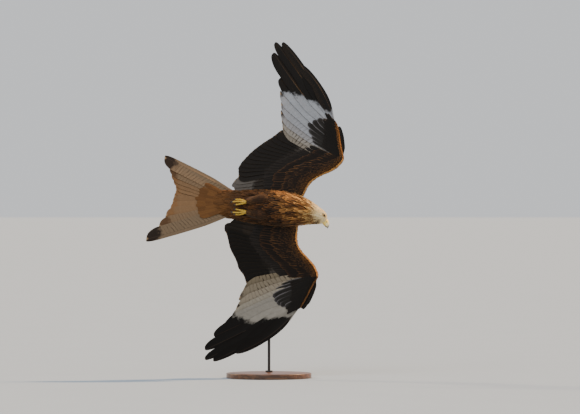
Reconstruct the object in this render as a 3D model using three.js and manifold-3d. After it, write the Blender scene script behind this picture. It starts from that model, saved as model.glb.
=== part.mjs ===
// A red kite banking in flight with its belly to the viewer, life size, on a plain display stand.
// Millimetres. X points to the bird's head, Y to its back, and Z is up, which is the bird's right side.
import * as THREE from "three";
import { mergeVertices } from "three/addons/utils/BufferGeometryUtils.js";
import Module from "manifold-3d";

const wasm = await Module();
wasm.setup();

// The bird's middle above the floor, where the stand puts it.
const birdPlace = new THREE.Vector3(-25, -35, 603);

// Clearance between pieces that touch, and the thickness of a feather's web.
const gap = 0.3;
const webThick = 0.6;

const vec = (x, y, z) => new THREE.Vector3(x, y, z);
const radians = THREE.MathUtils.degToRad;
const { lerp, smoothstep } = THREE.MathUtils;
const back = vec(0, 1, 0);

// Solids from points and back

// A closed solid from points and triangles, turned so that its faces point out.
function solid(points, index) {
  const faces = new Uint32Array(index);
  let volume = 0;
  for (let i = 0; i < faces.length; i += 3) {
    const [a, b, c] = [points[faces[i]], points[faces[i + 1]], points[faces[i + 2]]];
    volume += a.dot(b.clone().cross(c));
  }
  if (volume < 0)
    for (let i = 0; i < faces.length; i += 3)
      [faces[i + 1], faces[i + 2]] = [faces[i + 2], faces[i + 1]];
  const vertProperties = new Float32Array(points.flatMap((p) => [p.x, p.y, p.z]));
  return new wasm.Manifold(new wasm.Mesh({ numProp: 3, vertProperties, triVerts: faces }));
}

// A closed solid from a three.js geometry, placed by a matrix.
function solidOf(geometry, matrix = new THREE.Matrix4()) {
  const bare = geometry.clone().applyMatrix4(matrix);
  bare.deleteAttribute("normal");
  bare.deleteAttribute("uv");
  const merged = mergeVertices(bare, 1e-4);
  const at = merged.attributes.position;
  const points = [];
  for (let i = 0; i < at.count; i++) points.push(vec().fromBufferAttribute(at, i));
  const kept = [];
  for (let i = 0; i < merged.index.count; i += 3) {
    const face = Array.from(merged.index.array.subarray(i, i + 3));
    if (new Set(face).size === 3) kept.push(...face);
  }
  return solid(points, kept);
}

const join = (pieces) => wasm.Manifold.union(pieces);

// The largest closed surface of a solid: loose scraps and sealed hollows are dropped.
function largest(made) {
  const shells = made.decompose().sort((a, b) => b.volume() - a.volume());
  return shells[0];
}

function meshOf(name, made, colour, roughness) {
  const { vertProperties, triVerts, numProp } = largest(made).getMesh();
  const at = new Float32Array((vertProperties.length / numProp) * 3);
  for (let i = 0; i < at.length / 3; i++)
    at.set(vertProperties.subarray(i * numProp, i * numProp + 3), i * 3);
  const geometry = new THREE.BufferGeometry();
  geometry.setAttribute("position", new THREE.BufferAttribute(at, 3));
  geometry.setIndex(new THREE.BufferAttribute(triVerts, 1));
  geometry.computeVertexNormals();
  const material = new THREE.MeshStandardMaterial({ color: colour, roughness, metalness: 0 });
  const mesh = new THREE.Mesh(geometry, material);
  mesh.name = name;
  return mesh;
}

// Basic shapes

// A closed body through rings of points, all with as many points, with flat ends.
function loft(rings) {
  const n = rings[0].length;
  const points = rings.flat();
  const index = [];
  for (let i = 0; i + 1 < rings.length; i++)
    for (let j = 0; j < n; j++) {
      const a = i * n + j;
      const b = i * n + ((j + 1) % n);
      index.push(a, b, b + n, a, b + n, a + n);
    }
  for (const first of [0, (rings.length - 1) * n]) {
    const middle = vec(0, 0, 0);
    for (let j = 0; j < n; j++) middle.addScaledVector(points[first + j], 1 / n);
    points.push(middle);
    for (let j = 0; j < n; j++) {
      const pair = [first + j, first + ((j + 1) % n)];
      if (first === 0) pair.reverse();
      index.push(points.length - 1, ...pair);
    }
  }
  return solid(points, index);
}

// A ring of n points round a centre, as an ellipse along two directions.
function ellipseRing(centre, one, two, n) {
  return Array.from({ length: n }, (_, j) => {
    const angle = (j / n) * 2 * Math.PI;
    return centre
      .clone()
      .addScaledVector(one, Math.cos(angle))
      .addScaledVector(two, Math.sin(angle));
  });
}

// A round limb through points, its radius running through a list from end to end.
function limb(points, radii, sides, steps, grow = 0) {
  const curve = new THREE.CatmullRomCurve3(points);
  const rings = [];
  for (let i = 0; i <= steps; i++) {
    const t = i / steps;
    const at = t * (radii.length - 1);
    const low = Math.min(Math.floor(at), radii.length - 2);
    const r = lerp(radii[low], radii[low + 1], at - low) + grow;
    const along = curve.getTangent(t);
    const side = vec(0.31, 0.2, 0.93).cross(along).normalize();
    const up = along.clone().cross(side);
    const centre = curve.getPoint(t).addScaledVector(along, i === 0 ? -grow : i === steps ? grow : 0);
    rings.push(ellipseRing(centre, side.multiplyScalar(r), up.multiplyScalar(r), sides));
  }
  return loft(rings);
}

// An egg shape: a sphere stretched along three directions.
function egg(centre, along, side, up, cuts = [12, 8]) {
  const m = new THREE.Matrix4().makeBasis(side, along, up).setPosition(centre);
  return solidOf(new THREE.SphereGeometry(1, ...cuts), m);
}

function ball(centre, radius, cuts) {
  const axes = [vec(0, radius, 0), vec(radius, 0, 0), vec(0, 0, radius)];
  return egg(centre, ...axes, cuts);
}

// Looks values up between the rows of a table, on a smooth curve.
function smoothTable(rows) {
  const times = rows.map((_, i) => i);
  const curve = new THREE.CubicInterpolant(times, rows.flat(), rows[0].length);
  return (t) => Array.from(curve.evaluate(t));
}

// Feathers

// How wide a feather is along its length, against its widest: from its share at the root to its
// share at the tip.
function widthAt(t, base, tip) {
  const out = Math.max(t - 0.8, 0) / 0.2;
  return lerp(base, 1, smoothstep(t, 0, 0.35)) * lerp(tip, 1, Math.sqrt(1 - out * out));
}

// One feather as a thin closed blade with a narrow web on its leading side and a broad one behind,
// and on the long ones a shaft that stands proud. It leans, so that a row lies like slats. Slant
// cuts its end aslant, as far along for each step to the leading side. Grow makes it larger all
// round, where another piece is cut by it.
function vane(f) {
  const { root, end, normal, lead, trail, stops, base = 0.3, tip = 0.25, grow = 0 } = f;
  const { bow = 0, lean = 7, notch = 0, shaft = 0, slant = 0 } = f;
  const long = end.clone().sub(root);
  const sideways = normal.clone().cross(long);
  const mid = root.clone().lerp(end, 0.5).addScaledVector(sideways, bow);
  mid.addScaledVector(normal, -long.dot(normal) / 2);
  const curve = new THREE.QuadraticBezierCurve3(root, mid, end);
  const rings = stops.map((t) => {
    const tangent = curve.getTangent(t);
    const across = normal.clone().cross(tangent).normalize();
    const up = tangent.clone().cross(across);
    across.applyAxisAngle(tangent, radians(lean));
    up.applyAxisAngle(tangent, radians(lean));
    const narrow = notch * smoothstep(t, 0.42, 0.62);
    const w1 = lead * widthAt(t, base, tip) * (1 - narrow / 2) + grow;
    const w2 = trail * widthAt(t, base, tip) * (1 - narrow) + grow;
    const half = webThick / 2 + grow;
    const rib = Math.max(lerp(shaft, half, t), half);
    const skew = slant * smoothstep(t, 0.5, 1);
    const put = (a, u) =>
      curve
        .getPoint(t)
        .addScaledVector(across, a)
        .addScaledVector(up, u)
        .addScaledVector(tangent, a * skew);
    const edge = [put(w1, half), put(-w2, half), put(-w2, -half), put(w1, -half)];
    if (shaft === 0) return edge;
    return [edge[0], put(0, rib), edge[1], edge[2], put(0, -rib), edge[3]];
  });
  return blade(rings);
}

// A blade through its cross sections, split into triangles alike on both faces.
function blade(rings) {
  const n = rings[0].length;
  const half = n / 2;
  const last = (rings.length - 1) * n;
  const index = [];
  for (let i = 0; i < last; i += n)
    for (let j = 0; j < n; j++) {
      const a = i + j;
      const b = i + ((j + 1) % n);
      if (j < half) index.push(a, b, b + n, a, b + n, a + n);
      else index.push(a, b, a + n, b, b + n, a + n);
    }
  for (let j = 0; j + 1 < half; j++) {
    const [a, b, c, d] = [j, j + 1, n - 2 - j, n - 1 - j];
    index.push(a, c, b, a, d, c);
    index.push(last + a, last + b, last + c, last + a, last + c, last + d);
  }
  return solid(rings.flat(), index);
}

const longStops = [0, 0.2, 0.42, 0.66, 0.88, 1];
const midStops = [0, 0.22, 0.58, 0.88, 1];

// A row of coverts as one thin sheet, with a scallop for each feather's tip. The place function
// gives a point at a share of the way along the row and a share of the feather's length.
function tier(count, place, normalAt, grow = 0) {
  const scallop = [
    [0, 0.86],
    [0.25, 0.985],
    [0.75, 0.985],
  ];
  const spots = [];
  for (let i = 0; i <= count; i++) spots.push([i / count, 0]);
  for (let i = 0; i < count; i++) for (const [a, b] of scallop) spots.push([(i + a) / count, b]);
  spots.push([1, 0.86]);
  const points = [];
  for (const side of [0.5, -0.5])
    for (const [s, l] of spots) {
      const lift = side * (webThick + 2 * grow);
      points.push(place(s, l).addScaledVector(normalAt(s), lift));
    }
  const n = spots.length;
  const index = [];
  const rim = [];
  for (let i = 0; i < count; i++) {
    const r = i;
    const e = count + 1 + 3 * i;
    const tops = [r, e, e + 1, r, e + 1, r + 1, e + 1, e + 2, r + 1, e + 2, e + 3, r + 1];
    index.push(...tops);
    for (let k = 0; k < tops.length; k += 3) index.push(tops[k] + n, tops[k + 2] + n, tops[k + 1] + n);
    rim.push([r + 1, r], [e, e + 1], [e + 1, e + 2], [e + 2, e + 3]);
  }
  rim.push([0, count + 1], [n - 1, count]);
  for (const [a, b] of rim) index.push(b, a, a + n, b, a + n, b + n);
  return solid(points, index);
}

// The body from tail coverts to bill, as one run of oval sections

// Each row: x, y, z of the middle, half width across the bird's side-to-side plane, half depth,
// pitch of the section and its twist about the bird's length, both in degrees.
const bodyRows = [
  [-212, 12, 19, 27, 2.8, 10, 15],
  [-150, 10, 13, 46, 16, 8, 12],
  [-96, 8, 8, 51, 31, 6, 5],
  [-45, 2, 3, 58, 47, 5, 1],
  [15, -2, -1, 62, 56, 5, 0],
  [75, -3, -6, 62, 57, 5, 0],
  [120, 0, -12, 56, 50, 8, 0],
  [150, 3, -18, 48, 42, 12, 0],
  [172, 4, -24, 39, 35, 16, 0],
  [191, 3, -31, 32.5, 26, 22, 0],
  [205, 2, -37, 27.5, 22, 30, 0],
  [214, 1, -42, 22.5, 19.5, 36, 0],
  [219, 1, -47, 16.5, 16, 44, 0],
  [222, 1, -50.5, 12.2, 10.8, 47, 0],
];
const bodyAt = smoothTable(bodyRows);
const tailEnd = 0;
const rumpRow = 1.3;
const bellyRow = 2.7;
const breastRow = 6.6;
const napeRow = 8.9;
const faceRow = 13;
const bodySides = 18;

// The middle of the body at a row, with the directions of its section.
function bodyFrame(row) {
  const [x, y, z, wide, deep, pitch, twist] = bodyAt(row);
  const forward = vec(Math.cos(radians(pitch)), 0, -Math.sin(radians(pitch)));
  const crown = vec(Math.sin(radians(pitch)), 0, Math.cos(radians(pitch)));
  const across = back.clone();
  crown.applyAxisAngle(forward, -radians(twist));
  across.applyAxisAngle(forward, -radians(twist));
  return { middle: vec(x, y, z), forward, crown, across, wide, deep };
}

function bodyPiece(from, to, steps, grow = 0) {
  const rings = [];
  for (let i = 0; i <= steps; i++) {
    const f = bodyFrame(lerp(from, to, i / steps));
    const shift = i === 0 ? gap / 2 - grow : i === steps ? grow - gap / 2 : 0;
    f.middle.addScaledVector(f.forward, shift);
    f.crown.multiplyScalar(f.wide + grow);
    f.across.multiplyScalar(f.deep + grow);
    rings.push(ellipseRing(f.middle, f.crown, f.across, bodySides));
  }
  return loft(rings);
}

const bodyPieces = {
  tail: [tailEnd, rumpRow, 3],
  tail_base: [rumpRow, bellyRow, 3],
  torso: [bellyRow, breastRow, 7],
  neck: [breastRow, napeRow, 4],
  head: [napeRow, faceRow, 7],
};

// The body as the pieces that grow from it see it: larger by the clearance.
const bodyRoom = join(Object.values(bodyPieces).map((span) => bodyPiece(...span, gap)));

// The tail, a shallow fork of twelve feathers spread from one centre

const tailCentre = vec(-71, 9, 10.7);
const tailMiddleSlope = -0.169;
const tailTwist = 0.29;
const tailRootRadius = 72;
const tailRootSpread = 20;

// The tips as [x, z], from the outermost right feather to the outermost left one.
const tailTips = [
  [-343, 176],
  [-325, 141],
  [-318, 117],
  [-311, 96],
  [-303, 76],
  [-302, 59],
  [-308, 39],
  [-313, 20],
  [-321, -4],
  [-337, -29],
  [-361, -68],
  [-405, -114],
];

// A point of the tail's plane, which is twisted about its own middle line.
function onTail(x, z) {
  const off = z - tailCentre.z - tailMiddleSlope * (x - tailCentre.x);
  return vec(x, tailCentre.y + tailTwist * off, z);
}
const tailNormal = vec(tailTwist * tailMiddleSlope, 1, -tailTwist).normalize();

function tailPiece() {
  const half = tailTips.length / 2;
  const feathers = tailTips.map(([x, z], i) => {
    const end = onTail(x, z);
    const side = i < half ? 1 : -1;
    const outer = (side > 0 ? half - 1 - i : i - half) / (half - 1);
    const away = end.clone().sub(tailCentre).normalize();
    const normal = tailNormal.clone().multiplyScalar(side);
    const across = normal.clone().cross(away).normalize();
    const root = tailCentre.clone().addScaledVector(away, tailRootRadius);
    root.addScaledVector(across, tailRootSpread * outer);
    const middle = outer === 0;
    const lift = middle ? (side > 0 ? 1 : 2) : 0;
    root.addScaledVector(tailNormal, lift);
    end.addScaledVector(tailNormal, lift);
    const [before, after] = [tailTips[Math.max(i - 1, 0)], tailTips[Math.min(i + 1, 2 * half - 1)]];
    const edge = vec(after[0] - before[0], 0, after[1] - before[1]);
    return vane({
      root,
      end,
      normal,
      lead: lerp(20, 12, outer),
      trail: lerp(20, 34, outer),
      bow: 0.02 * outer,
      lean: middle ? 0 : 6 * side,
      base: 0.55,
      tip: 0.55,
      slant: THREE.MathUtils.clamp(edge.dot(away) / edge.dot(across), -0.7, 0.7),
      stops: midStops,
    });
  });
  const edge = new THREE.CatmullRomCurve3(tailTips.map(([x, z]) => onTail(x, z)));
  const row = (face, long) => (share, reach) => {
    const away = edge.getPointAt(lerp(0.1, 0.9, share)).sub(tailCentre).normalize();
    return tailCentre
      .clone()
      .addScaledVector(away, 70 + reach * long * (1 - 0.3 * Math.abs(share - 0.5)))
      .addScaledVector(tailNormal, face * lerp(7, 5.4, reach));
  };
  const normalAt = () => tailNormal;
  const tiers = [tier(7, row(-1, 90), normalAt), tier(7, row(1, 72), normalAt)];
  const base = bodyPiece(...bodyPieces.tail_base, gap);
  return join([bodyPiece(...bodyPieces.tail), ...feathers, ...tiers]).subtract(base);
}

// The wings

// Sections of the wing's flesh in the frame of the arm or of the hand: along the bones' line and
// forward of it, for the front edge and the rear edge, and half the thickness.
const armSections = [
  [-6, 14, -34, -62, 13],
  [28, 3, 5, -82, 13],
  [60, -5, 42, -104, 12],
  [95, -2, 80, -110, 11.5],
  [125, 10, 118, -84, 11],
  [150, 20, 150, -56, 10.5],
  [172, 24, 180, -32, 10],
];
const handSections = [
  [25, 19, 20, -15, 9],
  [60, 19, 58, -16, 8],
  [95, 18, 94, -12, 7],
  [118, 15, 118, -6, 5.5],
  [131, 11, 131, -1, 4],
];
const elbow = 2.4;
const wrist = armSections.length;
const fingertip = armSections.length + handSections.length;
const armLength = 194;
const wristFront = 22;
const wristRear = 13;
const wristThick = 9.5;

// How far the wing rises from rear to front for each step forward.
const chordSlope = 0.04;

// Half thickness from front edge to rear edge, against the thickest.
const fleshShape = [
  [0.0, 0.12],
  [0.08, 0.62],
  [0.3, 1],
  [0.65, 0.92],
  [1, 0.6],
];

// Each wing's pose, the left one as if it were a right one. Angles in degrees: how far forward of
// straight out the arm and the hand point, and how far they are raised to the back.
// The tips are [x, z] from the bird's middle, each row of feathers from the body outwards or from
// the wrist inwards.
const wingPoses = {
  right: {
    shoulder: vec(133, 14, 35.5),
    arm: 44.3,
    hand: -8.9,
    armRaise: 12,
    handRaise: 12,
    hollow: 0,
    primaries: [
      [73, 284],
      [70, 309],
      [67, 336],
      [68, 366],
      [64, 405],
      [64, 457],
      [42, 548],
      [48, 586],
      [74, 586],
      [135, 507],
    ],
    secondaries: [
      [64, 268],
      [40, 249],
      [2, 224],
      [-37, 193],
      [-79, 143],
      [-82, 112],
    ],
    tertials: [
      [-84, 104],
      [-101, 84],
      [-96, 62],
    ],
    alula: [
      [272, 285],
      [277, 270],
      [279, 248],
    ],
    curl: 1.4e-4,
  },
  left: {
    shoulder: vec(119, 14, 56.8),
    arm: 17.6,
    hand: -26.6,
    armRaise: 10,
    handRaise: -2,
    hollow: 9,
    primaries: [
      [-64, 289],
      [-80, 321],
      [-91, 359],
      [-111, 398],
      [-138, 429],
      [-168, 456],
      [-200, 503],
      [-200, 538],
      [-171, 543],
      [-92, 515],
    ],
    secondaries: [
      [-56, 266],
      [-64, 242],
      [-78, 222],
      [-92, 185],
      [-110, 148],
      [-121, 105],
    ],
    tertials: [
      [-126, 90],
      [-131, 76],
      [-114, 58],
    ],
    alula: [
      [143, 360],
      [156, 345],
      [168, 322],
    ],
    curl: 1.2e-4,
  },
};

// How deep the outer web is cut away towards the tip, per primary.
const fingered = [0, 0, 0, 0, 0.1, 0.3, 0.3, 0.3, 0.3, 0.2];
const primaryBow = [-0.02, -0.02, -0.02, -0.02, 0, 0.02, 0.05, 0.06, 0.08, 0.15];
const secondaryCount = 12;
const tertialCount = 4;

// The wing's front and rear edges, thickness and surface direction for one pose.
function wingFrame(pose) {
  const onSurface = (x, z, raise) => vec(x, chordSlope * x + Math.tan(radians(raise)) * z, z);
  const out = (angle, raise) => onSurface(Math.sin(radians(angle)), Math.cos(radians(angle)), raise);
  const ahead = (angle, raise) => onSurface(Math.cos(radians(angle)), -Math.sin(radians(angle)), raise);
  const armAlong = out(pose.arm, pose.armRaise);
  const handAlong = out(pose.hand, pose.handRaise);
  const armForward = ahead(pose.arm, pose.armRaise);
  const handForward = ahead(pose.hand, pose.handRaise);
  const carpus = pose.shoulder.clone().addScaledVector(armAlong, armLength);
  const put = (origin, along, fore, a, f) =>
    origin.clone().addScaledVector(along, a).addScaledVector(fore, f);
  const fronts = [];
  const rears = [];
  const halves = [];
  for (const [a1, f1, a2, f2, half] of armSections) {
    const hollow = pose.hollow * Math.sin((Math.PI * Math.max(a1, 0)) / armLength);
    fronts.push(put(pose.shoulder, armAlong, armForward, a1, f1 - hollow));
    rears.push(put(pose.shoulder, armAlong, armForward, a2, f2));
    halves.push([half]);
  }
  const mean = armForward.clone().add(handForward).normalize();
  fronts.push(carpus.clone().addScaledVector(mean, wristFront));
  rears.push(carpus.clone().addScaledVector(mean, -wristRear));
  halves.push([wristThick]);
  for (const [a1, f1, a2, f2, half] of handSections) {
    fronts.push(put(carpus, handAlong, handForward, a1, f1));
    rears.push(put(carpus, handAlong, handForward, a2, f2));
    halves.push([half]);
  }
  const frontCurve = new THREE.CatmullRomCurve3(fronts);
  const rearCurve = new THREE.CatmullRomCurve3(rears);
  const halfAt = smoothTable(halves);
  const last = fronts.length - 1;
  const armNormal = armAlong.clone().cross(armForward).normalize();
  const handNormal = handAlong.clone().cross(handForward).normalize();
  return {
    front: (row) => frontCurve.getPoint(row / last),
    rear: (row) => rearCurve.getPoint(row / last),
    half: (row) => halfAt(row)[0],
    normal: (row) =>
      armNormal.clone().lerp(handNormal, smoothstep(row, wrist - 2, wrist + 2)).normalize(),
  };
}

// The flesh of the wing between two rows, larger by grow where another piece is cut by it.
function wingFlesh(wing, from, to, steps, grow = 0) {
  const rings = [];
  for (let i = 0; i <= steps; i++) {
    const row = lerp(from, to, i / steps);
    const normal = wing.normal(row);
    const front = wing.front(row);
    const rear = wing.rear(row);
    const chord = rear.clone().sub(front).normalize();
    const span = normal.clone().cross(chord).normalize();
    const shift = i === 0 ? gap / 2 - grow : i === steps ? grow - gap / 2 : 0;
    span.multiplyScalar(shift);
    front.addScaledVector(chord, -grow);
    rear.addScaledVector(chord, grow);
    const half = wing.half(row);
    const side = (sign) =>
      fleshShape.map(([c, h]) =>
        front.clone().lerp(rear, c).addScaledVector(normal, sign * (h * half + grow)).add(span),
      );
    rings.push([...side(1), ...side(-1).reverse()]);
  }
  return loft(rings);
}

// The point of a wing's feather outline above or below [x, z], so that it is the given height
// over the surface through the feather's root.
function overSurface(root, normal, [x, z], height) {
  const [dx, dz] = [x - root.x, z - root.z];
  return vec(x, root.y + (height - normal.x * dx - normal.z * dz) / normal.y, z);
}

const rootAt = (wing, row, inset) => wing.rear(row).lerp(wing.front(row), inset);

// A smooth line through tips, read by share of its length.
function tipLine(tips) {
  const line = new THREE.CatmullRomCurve3(tips.map(([x, z]) => vec(x, 0, z)));
  return (share) => {
    const p = line.getPointAt(share);
    return [p.x, p.z];
  };
}

// Where each group of a wing's feathers is rooted.
const handRow = (share) => lerp(wrist + 0.35, fingertip - 0.3, share);
const foreRow = (share) => lerp(wrist - 0.3, elbow + 0.55, share);
const thumbRow = (share) => wrist + 0.25 + 0.2 * share;
const upperRow = (share) => lerp(elbow - 0.2, 0.3, share);

// The tiers of coverts: how many feathers, how far ahead of the rear edge they are rooted, how long
// they are from first to last, and how high they lie at root (against the flesh) and at the tip.
const greater = { inset: 0.2, high: 0.45, low: [6, 4.6] };
const median = { inset: 0.5, high: 0.72, low: [8.3, 6.9] };
const covertRows = {
  hand: [
    { ...greater, count: 7, long: [96, 74] },
    { ...median, count: 5, long: [64, 46] },
  ],
  forearm: [
    { ...greater, count: 8, long: [98, 100] },
    { ...median, count: 6, long: [84, 96] },
  ],
  arm: [
    { ...greater, count: 4, long: [100, 84] },
    { ...median, count: 3, long: [94, 76] },
  ],
};

function covertTiers(wing, group, rowAt, targetAt, grow) {
  const tiers = [];
  for (const f of covertRows[group])
    for (const face of [-1, 1]) {
      const place = (share, reach) => {
        const row = rowAt(share);
        const normal = wing.normal(row);
        const from = rootAt(wing, row, f.inset);
        const away = overSurface(from, normal, targetAt(share), 0).sub(from).normalize();
        const high = f.high * wing.half(row);
        const low = f.low[face < 0 ? 0 : 1];
        const long = lerp(f.long[0], f.long[1], share);
        return from
          .addScaledVector(away, reach * long)
          .addScaledVector(normal, face * lerp(high, low, reach));
      };
      tiers.push(tier(f.count, place, (share) => wing.normal(rowAt(share)), grow));
    }
  return tiers;
}

// A row of long feathers: where each is rooted along the wing, and where its tip is.
function featherRow(wing, count, rowAt, targetAt, shape, grow) {
  return Array.from({ length: count }, (_, i) => {
    const share = i / (count - 1);
    const f = shape(share, i);
    const row = rowAt(share);
    const normal = wing.normal(row);
    const root = rootAt(wing, row, f.inset);
    const target = targetAt(share);
    const long = Math.hypot(target[0] - root.x, target[1] - root.z);
    const end = overSurface(root, normal, target, (f.curl ?? 0) * long * long);
    root.addScaledVector(normal, f.height ?? 0);
    const away = end.clone().sub(root).normalize();
    const across = normal.clone().cross(away);
    const [before, after] = [targetAt(Math.max(share - 0.05, 0)), targetAt(Math.min(share + 0.05, 1))];
    const edge = vec(after[0] - before[0], 0, after[1] - before[1]);
    const slant = f.square ? THREE.MathUtils.clamp(edge.dot(away) / edge.dot(across), -0.9, 0.9) : 0;
    return vane({ ...f, root, end, normal, slant, grow });
  });
}

// Reads a list of tips by share, in straight steps.
function tipSteps(tips) {
  return (share) => {
    const at = share * (tips.length - 1);
    const low = Math.min(Math.floor(at), tips.length - 2);
    const [a, b] = [tips[low], tips[low + 1]];
    return [lerp(a[0], b[0], at - low), lerp(a[1], b[1], at - low)];
  };
}

function wingParts(pose, room) {
  const wing = wingFrame(pose);
  const edge = {
    hand: tipSteps(pose.primaries),
    forearm: tipLine(pose.secondaries),
    arm: tipLine(pose.tertials),
    alula: tipSteps(pose.alula),
  };
  const primary = (share, i) => ({
    inset: lerp(0.25, 0.6, share * share),
    curl: pose.curl * share,
    lead: lerp(14, 11, share),
    trail: lerp(34, 30, share),
    tip: i < 5 ? 0.55 : 0.25,
    square: i < 5,
    notch: fingered[i],
    bow: primaryBow[i],
    stops: longStops,
  });
  const plain = { inset: 0.15, square: true, stops: midStops };
  const secondary = (share) => ({ ...plain, curl: -9e-5 * share, lead: 14, trail: 31, tip: 0.6 });
  const tertial = () => ({ ...plain, curl: -9e-5, lead: 15, trail: 28, tip: 0.5 });
  const thumb = (share) => {
    const shape = { lead: 8, trail: 19, tip: 0.35, bow: 0.09, lean: 3, stops: midStops };
    return { ...shape, inset: 0.86, height: 1.5 + 4 * share };
  };
  const tip = fingertip - 1;
  const pieces = (grow) => ({
    arm: [
      wingFlesh(wing, 0, elbow, 5, grow),
      ...featherRow(wing, tertialCount, upperRow, edge.arm, tertial, grow),
      ...covertTiers(wing, "arm", upperRow, edge.arm, grow),
    ],
    forearm: [
      wingFlesh(wing, elbow, wrist, 7, grow),
      ...featherRow(wing, secondaryCount, foreRow, edge.forearm, secondary, grow),
      ...covertTiers(wing, "forearm", foreRow, edge.forearm, grow),
    ],
    hand: [
      wingFlesh(wing, wrist, tip, 5, grow),
      ...featherRow(wing, pose.primaries.length, handRow, edge.hand, primary, grow),
      ...featherRow(wing, pose.alula.length, thumbRow, edge.alula, thumb, grow),
      ...covertTiers(wing, "hand", handRow, edge.hand, grow),
    ],
  });
  const made = pieces(0);
  const near = join(pieces(gap).forearm);
  return {
    arm: join(made.arm).subtract(room).subtract(near),
    forearm: join(made.forearm).subtract(room),
    hand: join(made.hand).subtract(near),
  };
}

// A solid built for the bird's right side, turned over to its left.
const mirrored = (made) => made.mirror([0, 0, 1]);

// The head: the end of the body's run, with lids, brows, nostrils and the line of the mouth

const eyeRadius = 7.7;
const eyePlace = vec(219.5, 1, -31.6);
const eyeOut = 10.8;
const eyeCuts = [14, 8];
const eyeCentre = (side) => eyePlace.clone().addScaledVector(back, side * eyeOut);

// The bill starts at the face and points along its own axis, which is pitched down.
const billBase = vec(222, 1, -50.5);
const billAlong = vec(0.682, 0, -0.731);
const billUp = vec(0.731, 0, 0.682);
const billAt = (along, up, out) =>
  billBase
    .clone()
    .addScaledVector(billAlong, along)
    .addScaledVector(billUp, up)
    .addScaledVector(back, out);

// Rows of the bill: along, top, bottom and half width.
const cereRows = [
  [gap, 11.6, -6.6, 9.6],
  [4, 11.2, -7, 9],
  [9, 9.6, -7.5, 8],
];
const upperBillRows = [
  [9 + gap, 9.4, -7.5, 7.8],
  [13, 7.6, -7.9, 7],
  [17, 4.6, -8.3, 5.9],
  [20.5, 1, -9, 4.4],
  [23, -2.8, -9.8, 3],
  [25, -7, -11, 1.8],
  [25.6, -12, -13.6, 0.6],
];
const lowerBillRows = [
  [gap, -7.05, -12.4, 9],
  [8, -7.85, -12.6, 7.2],
  [15, -8.6, -12.1, 5],
  [20.3, -9.5, -11, 2.2],
];
function billPiece(rows) {
  const rings = rows.map(([along, top, bottom, half]) => {
    const centre = billAt(along, (top + bottom) / 2, 0);
    const up = billUp.clone().multiplyScalar((top - bottom) / 2);
    return ellipseRing(centre, up, back.clone().multiplyScalar(half), 12);
  });
  return loft(rings);
}

// The skull's surface by the eye faces out, up and a little forward.
const eyeFacing = (side) => vec(0.3, side, 0.22).normalize();

function headPiece() {
  const extras = [];
  const cuts = [];
  for (const side of [-1, 1]) {
    const eye = eyeCentre(side);
    const facing = eyeFacing(side);
    const lid = new THREE.TorusGeometry(6.2, 1.6, 4, 12);
    const turn = new THREE.Matrix4().lookAt(facing, vec(0, 0, 0), billUp);
    turn.setPosition(eye.clone().addScaledVector(facing, 4.4));
    extras.push(solidOf(lid, turn));
    const high = facing.clone().cross(billAlong).normalize();
    if (high.dot(billUp) < 0) high.negate();
    const long = high.clone().cross(facing).normalize();
    const brow = eye.clone().addScaledVector(high, 6.4).addScaledVector(facing, 2.4);
    brow.addScaledVector(long, -Math.sign(long.dot(billAlong)) * 1.5);
    const shape = [long.multiplyScalar(9.5), high.multiplyScalar(2.1), facing.clone().multiplyScalar(3.6)];
    extras.push(egg(brow, ...shape, [8, 6]));
    cuts.push(ball(eye, eyeRadius + gap, eyeCuts));
    const mouth = billAlong.clone().multiplyScalar(-8.5).addScaledVector(back, side * 5.5);
    const inward = billAlong.clone().multiplyScalar(1.4).addScaledVector(back, side * 2.2);
    const thin = billUp.clone().multiplyScalar(0.8);
    cuts.push(egg(billAt(-5.5, -6.8, side * 14.6), mouth, thin, inward, [6, 4]));
  }
  return join([bodyPiece(...bodyPieces.head), ...extras]).subtract(join(cuts));
}

const eyePiece = (side) => ball(eyeCentre(side), eyeRadius, eyeCuts);

function cerePiece() {
  const nostrils = [-1, 1].map((side) =>
    egg(
      billAt(5.5, 3.4, side * 8.6),
      billAlong.clone().multiplyScalar(2.2),
      billUp.clone().multiplyScalar(1.1),
      back.clone().multiplyScalar(2),
      [8, 6],
    ),
  );
  return billPiece(cereRows).subtract(join(nostrils));
}

// The legs, folded back under the tail coverts with the feet half closed

const tarsusRadius = 4.3;
const thighPlace = vec(-12, -38, 25);
const tarsusPoints = [vec(-26, -53, 20.5), vec(-42, -51.5, 19), vec(-57, -48.5, 17.5)];

// Each toe from the foot's pad to its last joint, and where its claw's tip ends.
const toes = {
  inner: { through: [[-57, -49, 14], [-74, -52, 11], [-91, -48, 8]], tip: [-102, -37, 6.5] },
  middle: { through: [[-58, -49, 17.5], [-80, -53, 19.5], [-102, -49, 18.5]], tip: [-112, -36, 13.5] },
  outer: { through: [[-57, -48.5, 20.5], [-75, -48, 26], [-92, -43, 26.5]], tip: [-102, -32, 22.5] },
  hind: { through: [[-56, -47, 16.5], [-65, -42, 16.5], [-73, -39.5, 14.5]], tip: [-83, -33, 11] },
};
const toeRadii = [3.7, 3.3, 3, 3.1, 2.6];
const clawRadii = [2.3, 1.9, 1.2, 0.45];

const points = (list) => list.map((p) => vec(...p));

function footPiece(grow = 0) {
  const pieces = [limb(tarsusPoints, [tarsusRadius, tarsusRadius, 5], 8, 3, grow)];
  for (const toe of Object.values(toes)) pieces.push(limb(points(toe.through), toeRadii, 7, 4, grow));
  return join(pieces);
}

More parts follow.
